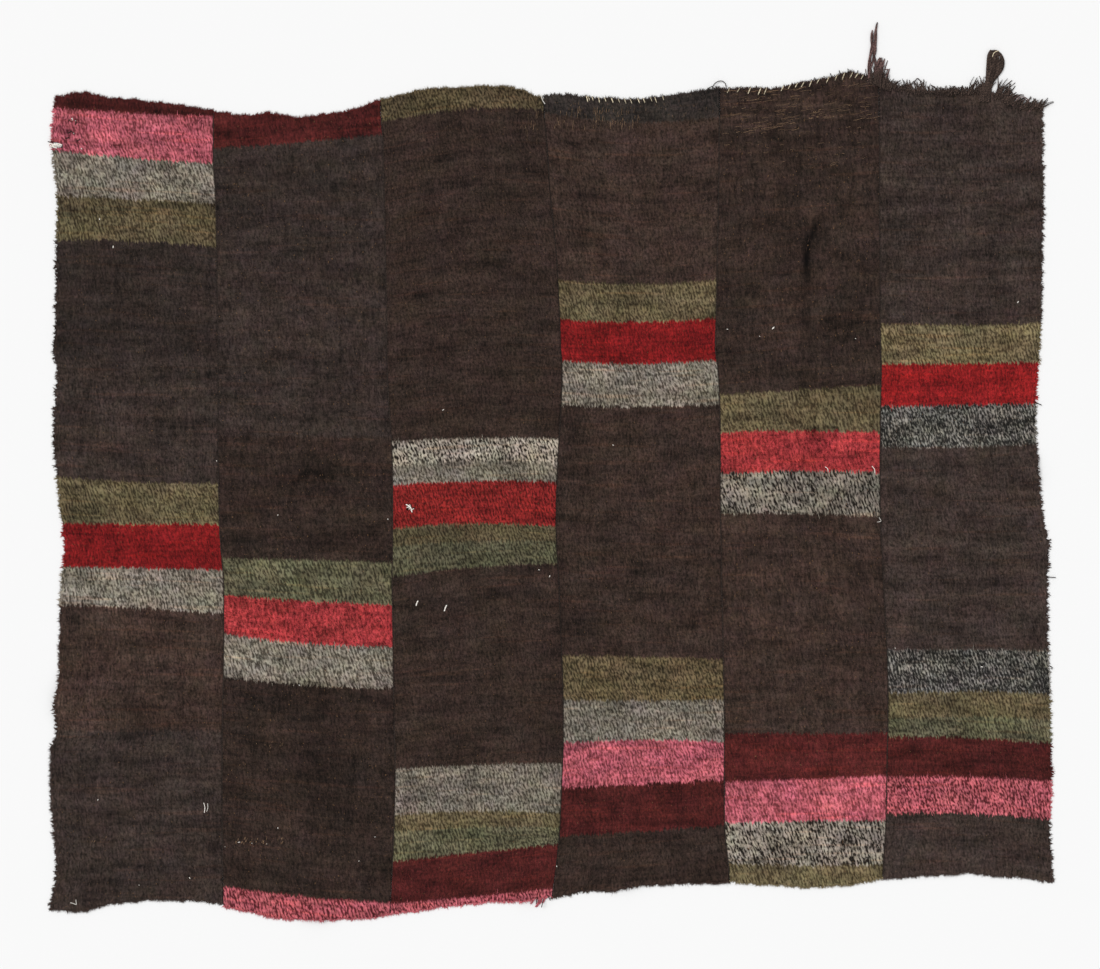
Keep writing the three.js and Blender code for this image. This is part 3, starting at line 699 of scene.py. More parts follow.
def weave_height(strip, across, y):
    """The place along the warp as it was woven, so that every band's edge is level."""
    bands = BANDS[strip["name"]][:-1]
    edges = []
    for band in bands:
        low = band["left"] + across * (band["right"] - band["left"])
        bow = 4 * across * (1 - across) * (band["mid"] - (band["left"] + band["right"]) / 2)
        edges.append(low + bow)
    shifts = [band["mid"] - edge for band, edge in zip(bands, edges)]
    woven = y + shifts[0]
    for k in range(len(bands) - 1):
        part = np.clip((edges[k] - y) / (edges[k] - edges[k + 1]), 0, 1)
        woven = np.where(y < edges[k], y + ((1 - part) * shifts[k] + part * shifts[k + 1]), woven)
    return woven


def painted_shade_and_tone_at(x, y):
    """How light the cloth's colour is at a place: painted shade and light over folds, creases, seams and the
    rolled end, with real streaks, worn specks and tone.
    """
    painted_shade_and_tone = np.ones_like(x)
    for spot in PAINTED_SHADE_AND_TONE:
        turn = math.radians(spot["turn"])
        along = (x - spot["x"]) * math.cos(turn) + (y - spot["y"]) * math.sin(turn)
        aside = (y - spot["y"]) * math.cos(turn) - (x - spot["x"]) * math.sin(turn)
        away = (along / spot["reach_x"]) ** 2 + (aside / spot["reach_y"]) ** 2
        painted_shade_and_tone += spot["amount"] * np.exp(-away)
    return painted_shade_and_tone


def selvedge_lobes(y):
    """Rounded lobes where the weft turns at an outer selvedge, from 0 between them to 1."""
    turns = y / SELVEDGE_LOBE + 0.7 * np.sin(y / 31) + 0.4 * np.sin(y / 13.7)
    part = turns - np.floor(turns)
    size = 0.2 + 0.8 * scatter(np.floor(turns))
    ragged = 0.16 * np.sin(y / 1.3 + 2.6 * np.sin(y / 17))
    return ragged + size * np.sqrt(np.maximum(1 - (2 * part - 1) ** 2, 0))


def selvedge_swell(y):
    """How far an outer selvedge swells out, in millimetres."""
    return SELVEDGE_DEPTH * (selvedge_lobes(y) - SELVEDGE_MEAN)


def end_lumps(x):
    """How far the rolled and stitched ends swell out between their stitches."""
    stitches = 0.6 * np.sin(x / 2.3 + 2.2 * np.sin(x / 23))
    return stitches + 0.8 * np.sin(x / 4.9 + 1.9 * np.sin(x / 31)) + 0.7 * np.sin(x / 13) - 0.9


def nearness(distance, reach=EDGE_REACH):
    """How near an edge a place is, from 0 at the reach to 1 on the edge."""
    return np.clip(1 - distance / reach, 0, 1)


def with_fine_ends(steps, length):
    """Even steps with a few fine ones at both ends, to round the edges. One step of 1 is length long."""
    fine = np.array(ROUNDING_STEPS) / length
    return np.unique(np.concatenate([steps, fine, steps[-1] - fine]))


def plain_mesh(name, points, faces):
    """A mesh from an array of points and a list of arrays of faces, each of one kind of polygon."""
    mesh = bpy.data.meshes.new(name)
    corners = np.concatenate([part.ravel() for part in faces])
    sizes = np.concatenate([np.full(len(part), part.shape[1]) for part in faces])
    starts = np.concatenate([[0], np.cumsum(sizes)[:-1]])
    mesh.vertices.add(len(points))
    mesh.vertices.foreach_set("co", np.asarray(points, np.float32).ravel())
    mesh.loops.add(len(corners))
    mesh.loops.foreach_set("vertex_index", corners.astype(np.int32))
    mesh.polygons.add(len(sizes))
    mesh.polygons.foreach_set("loop_start", starts.astype(np.int32))
    mesh.update(calc_edges=True)
    mesh.validate()
    mesh.shade_smooth()
    return mesh


def set_uv(mesh, name, values):
    """A UV map from one pair of numbers for each point."""
    layer = mesh.uv_layers.new(name=name)
    corner_points = np.empty(len(mesh.loops), np.int32)
    mesh.loops.foreach_get("vertex_index", corner_points)
    layer.uv.foreach_set("vector", np.asarray(values, np.float32)[corner_points].ravel())


def set_point_values(mesh, name, values):
    """One plain number for each point, or one colour of four numbers."""
    kind, field = ("FLOAT_COLOR", "color") if values.ndim == 2 else ("FLOAT", "value")
    layer = mesh.attributes.new(name, kind, "POINT")
    layer.data.foreach_set(field, values.astype(np.float32).ravel())


def place_object(mesh, material):
    thing = bpy.data.objects.new(mesh.name, mesh)
    bpy.context.collection.objects.link(thing)
    mesh.materials.append(material)
    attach(thing, "root")
    return thing


def strip_grid(strip):
    """The plan of a strip's fine grid: places, and distances to its nearest side and end."""
    across_steps = with_fine_ends(np.linspace(0, 1, COLUMNS + 1), STRIP_WIDTH)
    row_steps = with_fine_ends(np.arange(row_count() * FINE_ROWS + 1) / FINE_ROWS, ROW_PITCH)
    rows, across = np.meshgrid(row_steps, across_steps, indexing="ij")
    x, y = grid_point(strip, rows, across)
    left, right = strip_sides(strip, y)
    bottom, top = strip_ends(strip, across)
    to_side = np.minimum(x - left, right - x)
    to_end = np.maximum(np.minimum(y - bottom, top - y), 0)
    y = y + end_lumps(x) * (nearness(top - y) - nearness(y - bottom))
    if strip["from"] == "left":
        x = x - nearness(x - left) * selvedge_swell(y)
    if strip["to"] == "right":
        x = x + nearness(right - x) * selvedge_swell(y + RIGHT_LOBES_SHIFT)
    return {"x": x, "y": y, "across": across, "to_side": to_side, "to_end": to_end}


def edge_profile(distance):
    """The share of the cloth's thickness near an edge, which is rounded."""
    part = np.clip(distance / EDGE_ROUNDING, 0, 1)
    return EDGE_THICKNESS_SHARE + (1 - EDGE_THICKNESS_SHARE) * np.sqrt(1 - (1 - part) ** 2)


def seam_pucker(grid):
    """Small puckers that the sewing pulls into the cloth beside a seam."""
    pull = np.sin(grid["y"] / 2.9 + 3 * np.sin(grid["y"] / 41)) - 0.4
    return PUCKER_HEIGHT * nearness(grid["to_side"], PUCKER_REACH) * pull


def strip_mesh(strip):
    """A strip's cloth as one closed mesh: a fine face, a coarser underside and walls between them."""
    grid = strip_grid(strip)
    shape = grid["x"].shape
    x = grid["x"]
    y = grid["y"]
    rounded = edge_profile(grid["to_side"]) * edge_profile(grid["to_end"])
    lift = lift_at(x, y)
    face = unevenness_at(x, y) + seam_pucker(grid) - crease_at(x, y)
    top = lift + CLOTH_THICKNESS * rounded + face * rounded
    under = np.maximum(lift + RIM_LIFT * (1 - rounded), FLOOR_CLEARANCE)
    top = np.maximum(top, under + LEAST_THICKNESS)

    columns = shape[1]
    keep = np.unique(np.linspace(0, columns - 1, UNDERSIDE_COLUMNS + 1).round().astype(int))
    top_points = np.stack([x, y, top], -1).reshape(-1, 3)
    under_points = np.stack([x, y, under], -1)[:, keep].reshape(-1, 3)
    top_index = np.arange(shape[0] * columns).reshape(shape)
    under_index = len(top_points) + np.arange(len(under_points)).reshape(shape[0], len(keep))

    def quads(index, flip):
        a, b = index[:-1, :-1], index[:-1, 1:]
        c, d = index[1:, 1:], index[1:, :-1]
        order = [a, d, c, b] if flip else [a, b, c, d]
        return np.stack(order, -1).reshape(-1, 4)

    def side_wall(upper, lower, flip):
        order = [upper[:-1], lower[:-1], lower[1:], upper[1:]]
        return np.stack(order[::-1] if flip else order, -1)

    def end_wall(row, flip):
        walls = []
        for k in range(len(keep) - 1):
            upper = top_index[row, keep[k]:keep[k + 1] + 1]
            lower = under_index[row, [k + 1, k]]
            ring = np.concatenate([upper, lower])
            walls.append((ring if flip else ring[::-1]).reshape(1, -1))
        return walls

    faces = [
        quads(top_index, False),
        quads(under_index, True),
        side_wall(top_index[:, 0], under_index[:, 0], True),
        side_wall(top_index[:, -1], under_index[:, -1], False),
        *end_wall(0, False),
        *end_wall(-1, True),
    ]
    mesh = plain_mesh(strip["name"] + "_cloth", np.concatenate([top_points, under_points]) * MM, faces)

    def everywhere(values):
        """Values at the face's points and then at the underside's."""
        size = values.shape[2:]
        return np.concatenate([values.reshape(-1, *size), values[:, keep].reshape(-1, *size)])

    woven = weave_height(strip, grid["across"], y)
    set_uv(mesh, "weave", everywhere(np.stack([grid["across"] * STRIP_WIDTH, woven], -1) * MM))
    set_uv(mesh, "rim", everywhere(np.stack([grid["to_side"], grid["to_end"]], -1) * MM))
    # Painted shade and light of folds, creases and seams, with real tone spots, kept at each point for the
    # material
    set_point_values(mesh, "painted_shade_and_tone", everywhere(painted_shade_and_tone_at(x, y)))
    return mesh


# Materials

def linear(colour):
    """A colour given as the eye reads it on a screen, 0 to 255, as the shader needs it."""
    parts = []
    for value in colour:
        share = value / 255
        parts.append(share / 12.92 if share <= 0.04045 else ((share + 0.055) / 1.055) ** 2.4)
    return (*parts, 1.0)


def new_material(name, roughness, sheen):
    material = bpy.data.materials.new(name)
    material.use_nodes = True
    tree = material.node_tree
    tree.nodes.clear()
    output = tree.nodes.new("ShaderNodeOutputMaterial")
    shader = tree.nodes.new("ShaderNodeBsdfPrincipled")
    for key, value in (
        ("Roughness", roughness),
        ("Specular IOR Level", WOOL_SPECULAR),
        ("Sheen Weight", sheen),
        ("Sheen Roughness", SHEEN_ROUGHNESS),
    ):
        shader.inputs[key].default_value = value
    tree.links.new(shader.outputs[0], output.inputs["Surface"])
    return material, tree, shader


def connect(tree, socket, value):
    if isinstance(value, bpy.types.NodeSocket):
        tree.links.new(value, socket)
    else:
        socket.default_value = value


def calc(tree, operation, first, second=0.0, third=0.0):
    node = tree.nodes.new("ShaderNodeMath")
    node.operation = operation
    for socket, value in zip(node.inputs, (first, second, third)):
        connect(tree, socket, value)
    return node.outputs[0]


def combine(tree, x, y, z):
    node = tree.nodes.new("ShaderNodeCombineXYZ")
    for socket, value in zip(node.inputs, (x, y, z)):
        connect(tree, socket, value)
    return node.outputs[0]


def stretch(tree, value, low, high, to_low=0.0, to_high=1.0, smooth=False):
    node = tree.nodes.new("ShaderNodeMapRange")
    node.interpolation_type = "SMOOTHSTEP" if smooth else "LINEAR"
    for name, number in (("From Min", low), ("From Max", high), ("To Min", to_low), ("To Max", to_high)):
        node.inputs[name].default_value = number
    connect(tree, node.inputs["Value"], value)
    return node.outputs["Result"]


def blend(tree, share, first, second, kind="MIX"):
    node = tree.nodes.new("ShaderNodeMix")
    node.data_type = "RGBA"
    node.blend_type = kind
    node.clamp_factor = True
    sockets = [s for s in node.inputs if s.type == "RGBA"]
    connect(tree, node.inputs[0], share)
    connect(tree, sockets[0], first)
    connect(tree, sockets[1], second)
    return [s for s in node.outputs if s.type == "RGBA"][0]


def uv_parts(tree, name):
    source = tree.nodes.new("ShaderNodeUVMap")
    source.uv_map = name
    parts = tree.nodes.new("ShaderNodeSeparateXYZ")
    tree.links.new(source.outputs[0], parts.inputs[0])
    return parts.outputs[0], parts.outputs[1]


def grained_noise(tree, x, y, grains, seed, detail, rough, colour=False):
    """A noise stretched to its own grain across and along."""
    node = tree.nodes.new("ShaderNodeTexNoise")
    node.noise_dimensions = "3D"
    for name, number in (("Scale", 1.0), ("Detail", detail), ("Roughness", rough)):
        node.inputs[name].default_value = number
    place = combine(tree, calc(tree, "MULTIPLY", x, grains[0]), calc(tree, "MULTIPLY", y, grains[1]), seed)
    connect(tree, node.inputs["Vector"], place)
    return node.outputs["Color" if colour else "Fac"]


def swing(tree, value, size, middle):
    """A noise's swing about a half, made larger or smaller and moved to another middle."""
    return calc(tree, "MULTIPLY_ADD", calc(tree, "SUBTRACT", value, 0.5), size, middle)


def colour_parts(tree, colour):
    parts = tree.nodes.new("ShaderNodeSeparateColor")
    tree.links.new(colour, parts.inputs[0])
    return parts.outputs


def attribute(tree, name, output="Fac"):
    node = tree.nodes.new("ShaderNodeAttribute")
    node.attribute_name = name
    return node.outputs[output]


def tinted(tree, colour, tint, share=1.0):
    return blend(tree, share, colour, tint, "MULTIPLY")


def lit(tree, colour, light):
    return tinted(tree, colour, combine(tree, light, light, light))


def set_relief(tree, shader, relief, strength, distance):
    bump = tree.nodes.new("ShaderNodeBump")
    bump.inputs["Strength"].default_value = strength
    bump.inputs["Distance"].default_value = distance
    tree.links.new(relief, bump.inputs["Height"])
    tree.links.new(bump.outputs[0], shader.inputs["Normal"])


def toned(colour, tone):
    return linear([value * tone for value in colour])


def band_steps(tree, bands, height):
    """How far past each band's lower edge a place along the warp is, from 0 to 1."""
    steps = []
    for band in bands[:-1]:
        edge = band["mid"] * MM
        steps.append(stretch(tree, height, edge + EDGE_BLUR, edge - EDGE_BLUR))
    return steps


def band_colour(tree, bands, steps, key):
    """One of the dyes' colours, changing at each band's edge."""
    colours = [toned(DYES[band["dye"]][key], band["tone"]) for band in bands]
    colour = colours[0]
    for step, following in zip(steps, colours[1:]):
        colour = blend(tree, step, colour, following)
    return colour


def band_value(tree, bands, steps, key):
    """As band_colour, for a plain number of the dyes."""
    values = [DYES[band["dye"]][key] for band in bands]
    value = values[0]
    for step, before, after in zip(steps, values, values[1:]):
        value = calc(tree, "MULTIPLY_ADD", step, after - before, value)
    return value


def drifting_tint(tree, x, y, grains, seed, size):
    """A slow drift of hue between greenish, purplish and orange brown, near white."""
    parts = colour_parts(tree, grained_noise(tree, x, y, grains, seed, 2.0, 0.6, colour=True))
    return combine(tree, *[swing(tree, part, reach * size, 1.0) for part, reach in zip(parts, TINT_SWINGS)])


def twill_material(number, strip):
    """Handspun wool twill in dyed bands: steep floats over a dark warp, under a short nap."""
    material, tree, shader = new_material(strip["name"] + "_twill", 0.95, 0.04)
    across, height = uv_parts(tree, "weave")
    to_side = uv_parts(tree, "rim")[0]
    seed = 3.7 * number

    wander = colour_parts(tree, grained_noise(tree, across, height, (48, 40), seed, 1.0, 0.5, colour=True))
    x = swing(tree, wander[0], 7 * MM, across)
    y = swing(tree, wander[1], 6 * MM, height)
    leaning = calc(tree, "MULTIPLY_ADD", y, TWILL_SLOPE, x)
    places = {"woven": (across, height), "wandering": (x, y), "leaning": (leaning, y)}
    turns = calc(tree, "MULTIPLY", leaning, 2 * math.pi / WALE_PITCH)
    noises = {"wale": calc(tree, "MULTIPLY_ADD", calc(tree, "SINE", turns), 0.5, 0.5)}
    for row in TWILL_NOISES:
        grains = (row["grain_x"], row["grain_y"])
        kind = (seed + row["seed"], row["detail"], row["rough"])
        noises[row["name"]] = grained_noise(tree, *places[row["place"]], grains, *kind)

    def swayed(value, **sizes):
        """A value moved by some of the twill's noises, by a size for each."""
        for name, size in sizes.items():
            value = swing(tree, noises[name], size, value)
        return value

    bands = BANDS[strip["name"]]
    steps = band_steps(tree, bands, swayed(height, dash=9 * MM, hair=15 * MM, floats=3.5 * MM))
    twill_share = band_value(tree, bands, steps, "twill")
    mixed = calc(tree, "ADD", 0.5, band_value(tree, bands, steps, "cover"))
    mixed = swing(tree, noises["patch"], band_value(tree, bands, steps, "cluster"), mixed)
    mixed = swayed(mixed, floats=1.0, wale=WALE_SHARE, dash=1.1, grain=0.6)
    figured = stretch(tree, mixed, 0.24, 0.8, smooth=True)
    fluff = calc(tree, "MULTIPLY_ADD", noises["hair"], 0.25, noises["grain"])
    fluffy = stretch(tree, fluff, 0.44, 0.82, smooth=True)
    plain_share = calc(tree, "SUBTRACT", 1.0, twill_share)
    weft = calc(tree, "MULTIPLY_ADD", figured, twill_share, calc(tree, "MULTIPLY", fluffy, plain_share))
    gap_colour = band_colour(tree, bands, steps, "gap")
    cloth = blend(tree, weft, gap_colour, band_colour(tree, bands, steps, "float"))

    light = swayed(1.0, hair=0.5, pick=0.55, patch=2.2, streak=0.8)
    # Painted shade: the colour darkens over the last few millimetres towards each strip's sides, along the
    # seams and rounded outer edges
    side_shade = stretch(tree, swayed(to_side, pick=4 * MM), 0.0, 2.4 * MM, 0.66, 1.0, smooth=True)
    light = calc(tree, "MULTIPLY", light, side_shade)
    # Painted shade and light of the folds, creases, seams and rolled end, with real streaks and worn specks,
    # from each point's value
    light = calc(tree, "MULTIPLY", light, attribute(tree, "painted_shade_and_tone"))
    cloth = lit(tree, cloth, light)
    cloth = tinted(tree, cloth, drifting_tint(tree, x, y, (120, 80), seed + 67, 0.7))
    cloth = tinted(tree, cloth, drifting_tint(tree, across, height, (16, 26), seed + 73, 1.0))
    pick_share = stretch(tree, noises["pale_pick"], 0.6, 0.72, 0.0, 0.55, smooth=True)
    cloth = tinted(tree, cloth, PALE_PICK, pick_share)
    cloth = blend(tree, stretch(tree, noises["speck"], 0.8, 0.86, 0.0, 0.75), cloth, linear(SPECK))
    tree.links.new(cloth, shader.inputs["Base Color"])
    relief = calc(tree, "MULTIPLY_ADD", weft, 0.7, calc(tree, "MULTIPLY", noises["hair"], 0.6))
    set_relief(tree, shader, relief, 0.55, 0.8 * MM)
    return material


def yarn_material(name, light_colour, dark_colour, tones=(0.7, 1.3)):
    """Spun yarn: fine fibres that twist round it, and each yarn a little lighter or darker."""
    material, tree, shader = new_material(name, 0.9, 0.05)
    around, along = uv_parts(tree, "yarn")
    twist = calc(tree, "MULTIPLY_ADD", along, 420.0, calc(tree, "MULTIPLY", around, 2.0))
    ply = calc(tree, "MULTIPLY_ADD", calc(tree, "SINE", calc(tree, "MULTIPLY", twist, math.pi)), 0.25, 0.5)
    fibre = grained_noise(tree, around, along, (6, 260), 0.0, 2.0, 0.6)
    mixed = calc(tree, "MULTIPLY_ADD", fibre, 0.8, calc(tree, "MULTIPLY", ply, 0.4))
    mixed = stretch(tree, mixed, 0.4, 0.8)
    wool = blend(tree, mixed, linear(dark_colour), linear(light_colour))
    light = stretch(tree, attribute(tree, "yarn_tone"), 0.0, 1.0, *tones)
    tree.links.new(lit(tree, wool, light), shader.inputs["Base Color"])
    set_relief(tree, shader, mixed, 0.5, 0.3 * MM)
    return material


def nap_material():
    """Loose fibres, each in the colour of the yarn that it stands out of."""
    material, tree, shader = new_material("loose_nap", 1.0, 0.05)
    grain = grained_noise(tree, *uv_parts(tree, "yarn"), (900, 900), 0.0, 1.0, 0.5)
    light = stretch(tree, grain, 0.3, 0.7, 0.8, 1.2)
    tree.links.new(lit(tree, attribute(tree, "fibre_colour", "Color"), light), shader.inputs["Base Color"])
    return material


# Yarns, locks and loose fibres

def smooth_path(rows, count):
    """Points along a smooth curve through a table's rows, in each of the table's columns."""
    stepped = [{**row, "step": i} for i, row in enumerate(rows)]
    steps = np.linspace(0, len(rows) - 1, count)
    return {key: smooth_at(stepped, "step", key, steps) for key in rows[0]}


def yarn_rings(points, radius, sides):
    """A ring of points round a yarn at each of its places."""
    tangent = np.gradient(points, axis=0)
    tangent /= np.maximum(np.linalg.norm(tangent, axis=1, keepdims=True), 1e-9)
    up = np.tile([0.06, 0.04, 1.0], (len(points), 1))
    side = np.cross(tangent, up)
    side /= np.maximum(np.linalg.norm(side, axis=1, keepdims=True), 1e-9)
    over = np.cross(side, tangent)
    angles = 2 * math.pi * np.arange(sides) / sides
    ring = side[:, None] * np.cos(angles)[None, :, None] + over[:, None] * np.sin(angles)[None, :, None]
    return points[:, None] + ring * np.reshape(radius, (-1, 1, 1))


def yarn_mesh(name, yarns, sides):
    """One mesh of round yarns. Each yarn is its points, in millimetres, and its radius at each."""
    all_points, all_uv, all_tones, quads, caps = [], [], [], [], []
    start = 0
    for k, (points, radius) in enumerate(yarns):
        count = len(points)
        rings = yarn_rings(points, np.broadcast_to(radius, count), sides)
        index = start + np.arange(count * sides).reshape(count, sides)
        turned = np.roll(index, -1, axis=1)
        quads.append(np.stack([index[:-1], turned[:-1], turned[1:], index[1:]], -1).reshape(-1, 4))
        caps += [index[0][::-1], index[-1]]
        length = np.concatenate([[0], np.cumsum(np.linalg.norm(np.diff(points, axis=0), axis=1))])
        around = np.tile(np.arange(sides) / sides, (count, 1))
        along = np.tile(length[:, None] * MM + 0.37 * start, (1, sides))
        all_points.append(rings.reshape(-1, 3))
        all_uv.append(np.stack([around, along % 1.0], -1).reshape(-1, 2))
        all_tones.append(np.full(count * sides, scatter(k + 0.37)))
        start += count * sides
    mesh = plain_mesh(name, np.concatenate(all_points) * MM, [np.concatenate(quads), np.array(caps)])
    set_uv(mesh, "yarn", np.concatenate(all_uv))
    set_point_values(mesh, "yarn_tone", np.concatenate(all_tones))
    return mesh


def strand(x, y, z, radius):
    """A yarn for yarn_mesh: its points and its radius, in millimetres."""
    return np.stack([x, y, z], -1), radius


def lock_of_yarns(rows, thickness, count, seed, radius, samples=22):
    """A lock: fine yarns that follow one middle line, twist round it and end unevenly."""
    path = smooth_path(rows, samples)
    x, y, width = path["x"], path["y"], path["width"]
    run_x, run_y = np.gradient(x), np.gradient(y)
    run = np.hypot(run_x, run_y)
    part = np.linspace(0, 1, samples)
    yarns = []
    for k in range(count):
        n = seed + 7.3 * k
        place = 2 * math.pi * scatter(n)
        out = math.sqrt(scatter(n + 1))
        turn = place + LOCK_TWIST * 2 * math.pi * part
        aside = out * np.cos(turn) * np.maximum(width / 2 - radius, 0.1)
        rise = (1 + out * np.sin(turn)) / 2
        aside += 0.5 * np.sin(part * (6 + 8 * scatter(n + 2)) + place) * part
        z = radius + rise * np.maximum(thickness - 2 * radius, 0.05) * np.minimum(width / 3, 1)
        end = 0.8 + 0.2 * scatter(n + 3)
        keep = part <= end + 1e-6
        points = np.stack([x - run_y / run * aside, y + run_x / run * aside, z], -1)[keep]
        fade = np.clip((end - part[keep]) / 0.12, 0.35, 1)
        yarns.append((points, radius * (0.8 + 0.4 * scatter(n + 4)) * fade))
    return yarns


def loose_fibres(name, roots, headings, lengths, widths, rises, colours):
    """Flat tapering fibres: each lies out from its root along its heading and droops to its tip."""
    count = len(roots)
    ahead = np.stack([np.cos(headings), np.sin(headings), np.zeros(count)], -1)
    aside = np.stack([-np.sin(headings), np.cos(headings), np.zeros(count)], -1)
    half = aside * (widths / 2)[:, None]
    curl = aside * (lengths * 0.35 * (scatter(np.arange(count) + 0.7) - 0.5))[:, None]
    middle = roots + ahead * (lengths * 0.5)[:, None]
    middle[:, 2] += rises
    tip = roots + ahead * lengths[:, None] + curl
    tip[:, 2] += 0.4 * rises
    points = np.stack([roots - half, roots + half, middle + half * 0.8, middle - half * 0.8, tip], 1)
    points[:, :, 2] = np.maximum(points[:, :, 2], 0.1)
    index = np.arange(count * 5).reshape(count, 5)
    mesh = plain_mesh(name, points.reshape(-1, 3) * MM, [index[:, [0, 1, 2, 3]], index[:, [3, 2, 4]]])
    set_uv(mesh, "yarn", np.repeat(np.stack([roots[:, 0], roots[:, 1]], -1) * MM, 5, axis=0))
    set_point_values(mesh, "fibre_colour", np.repeat(colours, 5, axis=0))
    return mesh


def fibre_colours(strip, across, y, tones):
    """The dye of the yarn at each place of a strip, lighter or darker by its tone, in linear colour."""
    bands = BANDS[strip["name"]]
    woven = weave_height(strip, across, y)
    edges = np.array([band["mid"] for band in bands[:-1]], float)
    number = (woven[:, None] < edges[None, :]).sum(axis=1)
    palette = np.array([toned(DYES[band["dye"]]["float"], band["tone"]) for band in bands])
    colours = palette[number] * tones[:, None]
    colours[:, 3] = 1
    return colours


def nap_mesh(number, strip):
    """The short nap that lies along the warp over the whole face of a strip."""
    n = np.arange(NAP_FIBRES) + 10000 * number
    across = 0.01 + 0.98 * scatter(n + 0.11)
    row = 0.08 + (row_count() - 0.16) * scatter(n + 0.23)
    x, y = grid_point(strip, row, across)
    z = height_of_face(x, y) - 0.2
    downward = np.where(scatter(n + 0.31) < 0.7, -1, 1)
    headings = downward * (math.pi / 2 + 0.45 * (scatter(n + 0.43) - 0.35) * downward)
    lengths = 4 + 8 * scatter(n + 0.53) ** 2
    widths = 0.32 + 0.3 * scatter(n + 0.61)
    rises = 0.35 + 0.6 * scatter(n + 0.71)
    colours = fibre_colours(strip, across, y, 0.8 + 0.9 * scatter(n + 0.83) ** 2)
    roots = np.stack([x, y, z], -1)
    return loose_fibres(strip["name"] + "_nap", roots, headings, lengths, widths, rises, colours)


def outline_parts(strip):
    """The parts of a strip's outline that show: its two ends, and an outer selvedge if it has one."""
    shown = [
        (row_count(), None, math.pi / 2, END_FIBRES, 5.5, 0.35),
        (0, None, -math.pi / 2, END_FIBRES, 5.5, 0.5),
    ]
    if strip["from"] == "left":
        shown.append((None, 0, math.pi, SELVEDGE_FIBRES, 5.4, 1))
    if strip["to"] == "right":
        shown.append((None, 1, 0, SELVEDGE_FIBRES, 5.4, 1))
    return table("row across heading fibres longest tufts", *shown)


def rim_fuzz_mesh(number, strip):
    """Short fuzz and a few thicker tufts that stand out of the outline."""
    parts = []
    for k, edge in enumerate(outline_parts(strip)):
        n = np.arange(edge["fibres"]) + 1000 * number + 100 * k + 0.5
        row = row_count() * scatter(n) if edge["row"] is None else np.full(len(n), float(edge["row"]))
        across = scatter(n) if edge["across"] is None else np.full(len(n), float(edge["across"]))
        x, y = grid_point(strip, row, across)
        if edge["across"] is None:
            y = y + math.sin(edge["heading"]) * (end_lumps(x) - FUZZ_ROOT)
        else:
            swell = selvedge_swell(y + RIGHT_LOBES_SHIFT * edge["across"])
            x = x + math.cos(edge["heading"]) * (swell - FUZZ_ROOT)
        z = lift_at(x, y) + 0.6 + 2.0 * scatter(n + 0.2)
        headings = edge["heading"] + 1.7 * (scatter(n + 0.3) - 0.5)
        tuft = edge["tufts"] * scatter(n + 0.6) ** 6
        lengths = 2.0 + edge["longest"] * scatter(n + 0.4) ** 2 + 1.5 * tuft
        widths = 0.45 + 0.5 * scatter(n + 0.65) + 2.2 * tuft
        rises = 0.5 * scatter(n + 0.7)
        colours = fibre_colours(strip, across, y, 0.6 + 0.6 * scatter(n + 0.8))
        parts.append((np.stack([x, y, z], -1), headings, lengths, widths, rises, colours))
    joined = [np.concatenate(values) for values in zip(*parts)]
    return loose_fibres(strip["name"] + "_rim_fuzz", *joined)


def top_edge_y(strip, x):
    """The height on the plan of a strip's top edge above a place across the blanket."""
    left, right = strip_sides(strip, HIGHEST_COMMON_ROW + 50.0)
    return float(strip_ends(strip, np.clip((x - left) / (right - left), 0, 1))[1])


def curve_on_face(places, samples, above):
    """A smooth thread through places on the face, sunk at both ends."""
    path = smooth_path([{"x": float(x), "y": float(y)} for x, y in places], samples)
    part = np.linspace(0, 1, samples)
    z = height_of_face(path["x"], path["y"]) + above * np.minimum(1, 6 * part * (1 - part))
    return np.stack([path["x"], path["y"], np.maximum(z, 0.6)], -1)


def fringe_yarns():
    """Raw warp ends that stand out of the sixth strip's top edge."""
    strip = STRIPS[5]
    yarns = []
    for zone in FRINGE_ZONES:
        count = int(zone["end"] - zone["start"])
        for k in range(count):
            n = zone["start"] + 3.1 * k
            x0 = zone["start"] + (k + scatter(n)) / count * (zone["end"] - zone["start"])
            root = 2 + 9 * scatter(n + 6) ** 2
            y0 = top_edge_y(strip, x0) - root
            reach = root + zone["shortest"]
            reach += (zone["longest"] - zone["shortest"]) * 1.6 * scatter(n + 1) ** 1.8
            lean = math.radians(zone["lean"] + 52 * (scatter(n + 2) - 0.5))
            part = np.linspace(0, 1, 7)
            bend = (scatter(n + 3) - 0.5) * 0.8 * reach * part ** 2
            x = x0 + np.sin(lean) * reach * part ** 1.3 + bend
            y = y0 + np.cos(lean) * reach * part
            z = (3.6 + 1.2 * scatter(n + 4)) * (1 - part ** 2) + (0.6 + 2.2 * scatter(n + 4)) * part ** 2
            thick = zone["thick"] * (0.6 + 0.45 * scatter(n + 5))
            yarns.append(strand(x, y, np.maximum(z, thick), thick * (1 - 0.5 * part ** 3)))
    return yarns


def tassel_yarns():
    """Twisted locks of warp over a tuft of short ends at the corner of the fifth strip."""
    yarns = []
    for k, lock in enumerate(TASSEL_LOCKS):
        count = int(6 + 1.6 * lock[0]["width"])
        yarns += lock_of_yarns(lock, 4.4, count, 400 + 31 * k, radius=0.95)
    for k, wisp in enumerate(TASSEL_WISPS):
        yarns += lock_of_yarns(wisp, 2.4, 3, 700 + 17 * k, radius=0.62, samples=12)
    return yarns


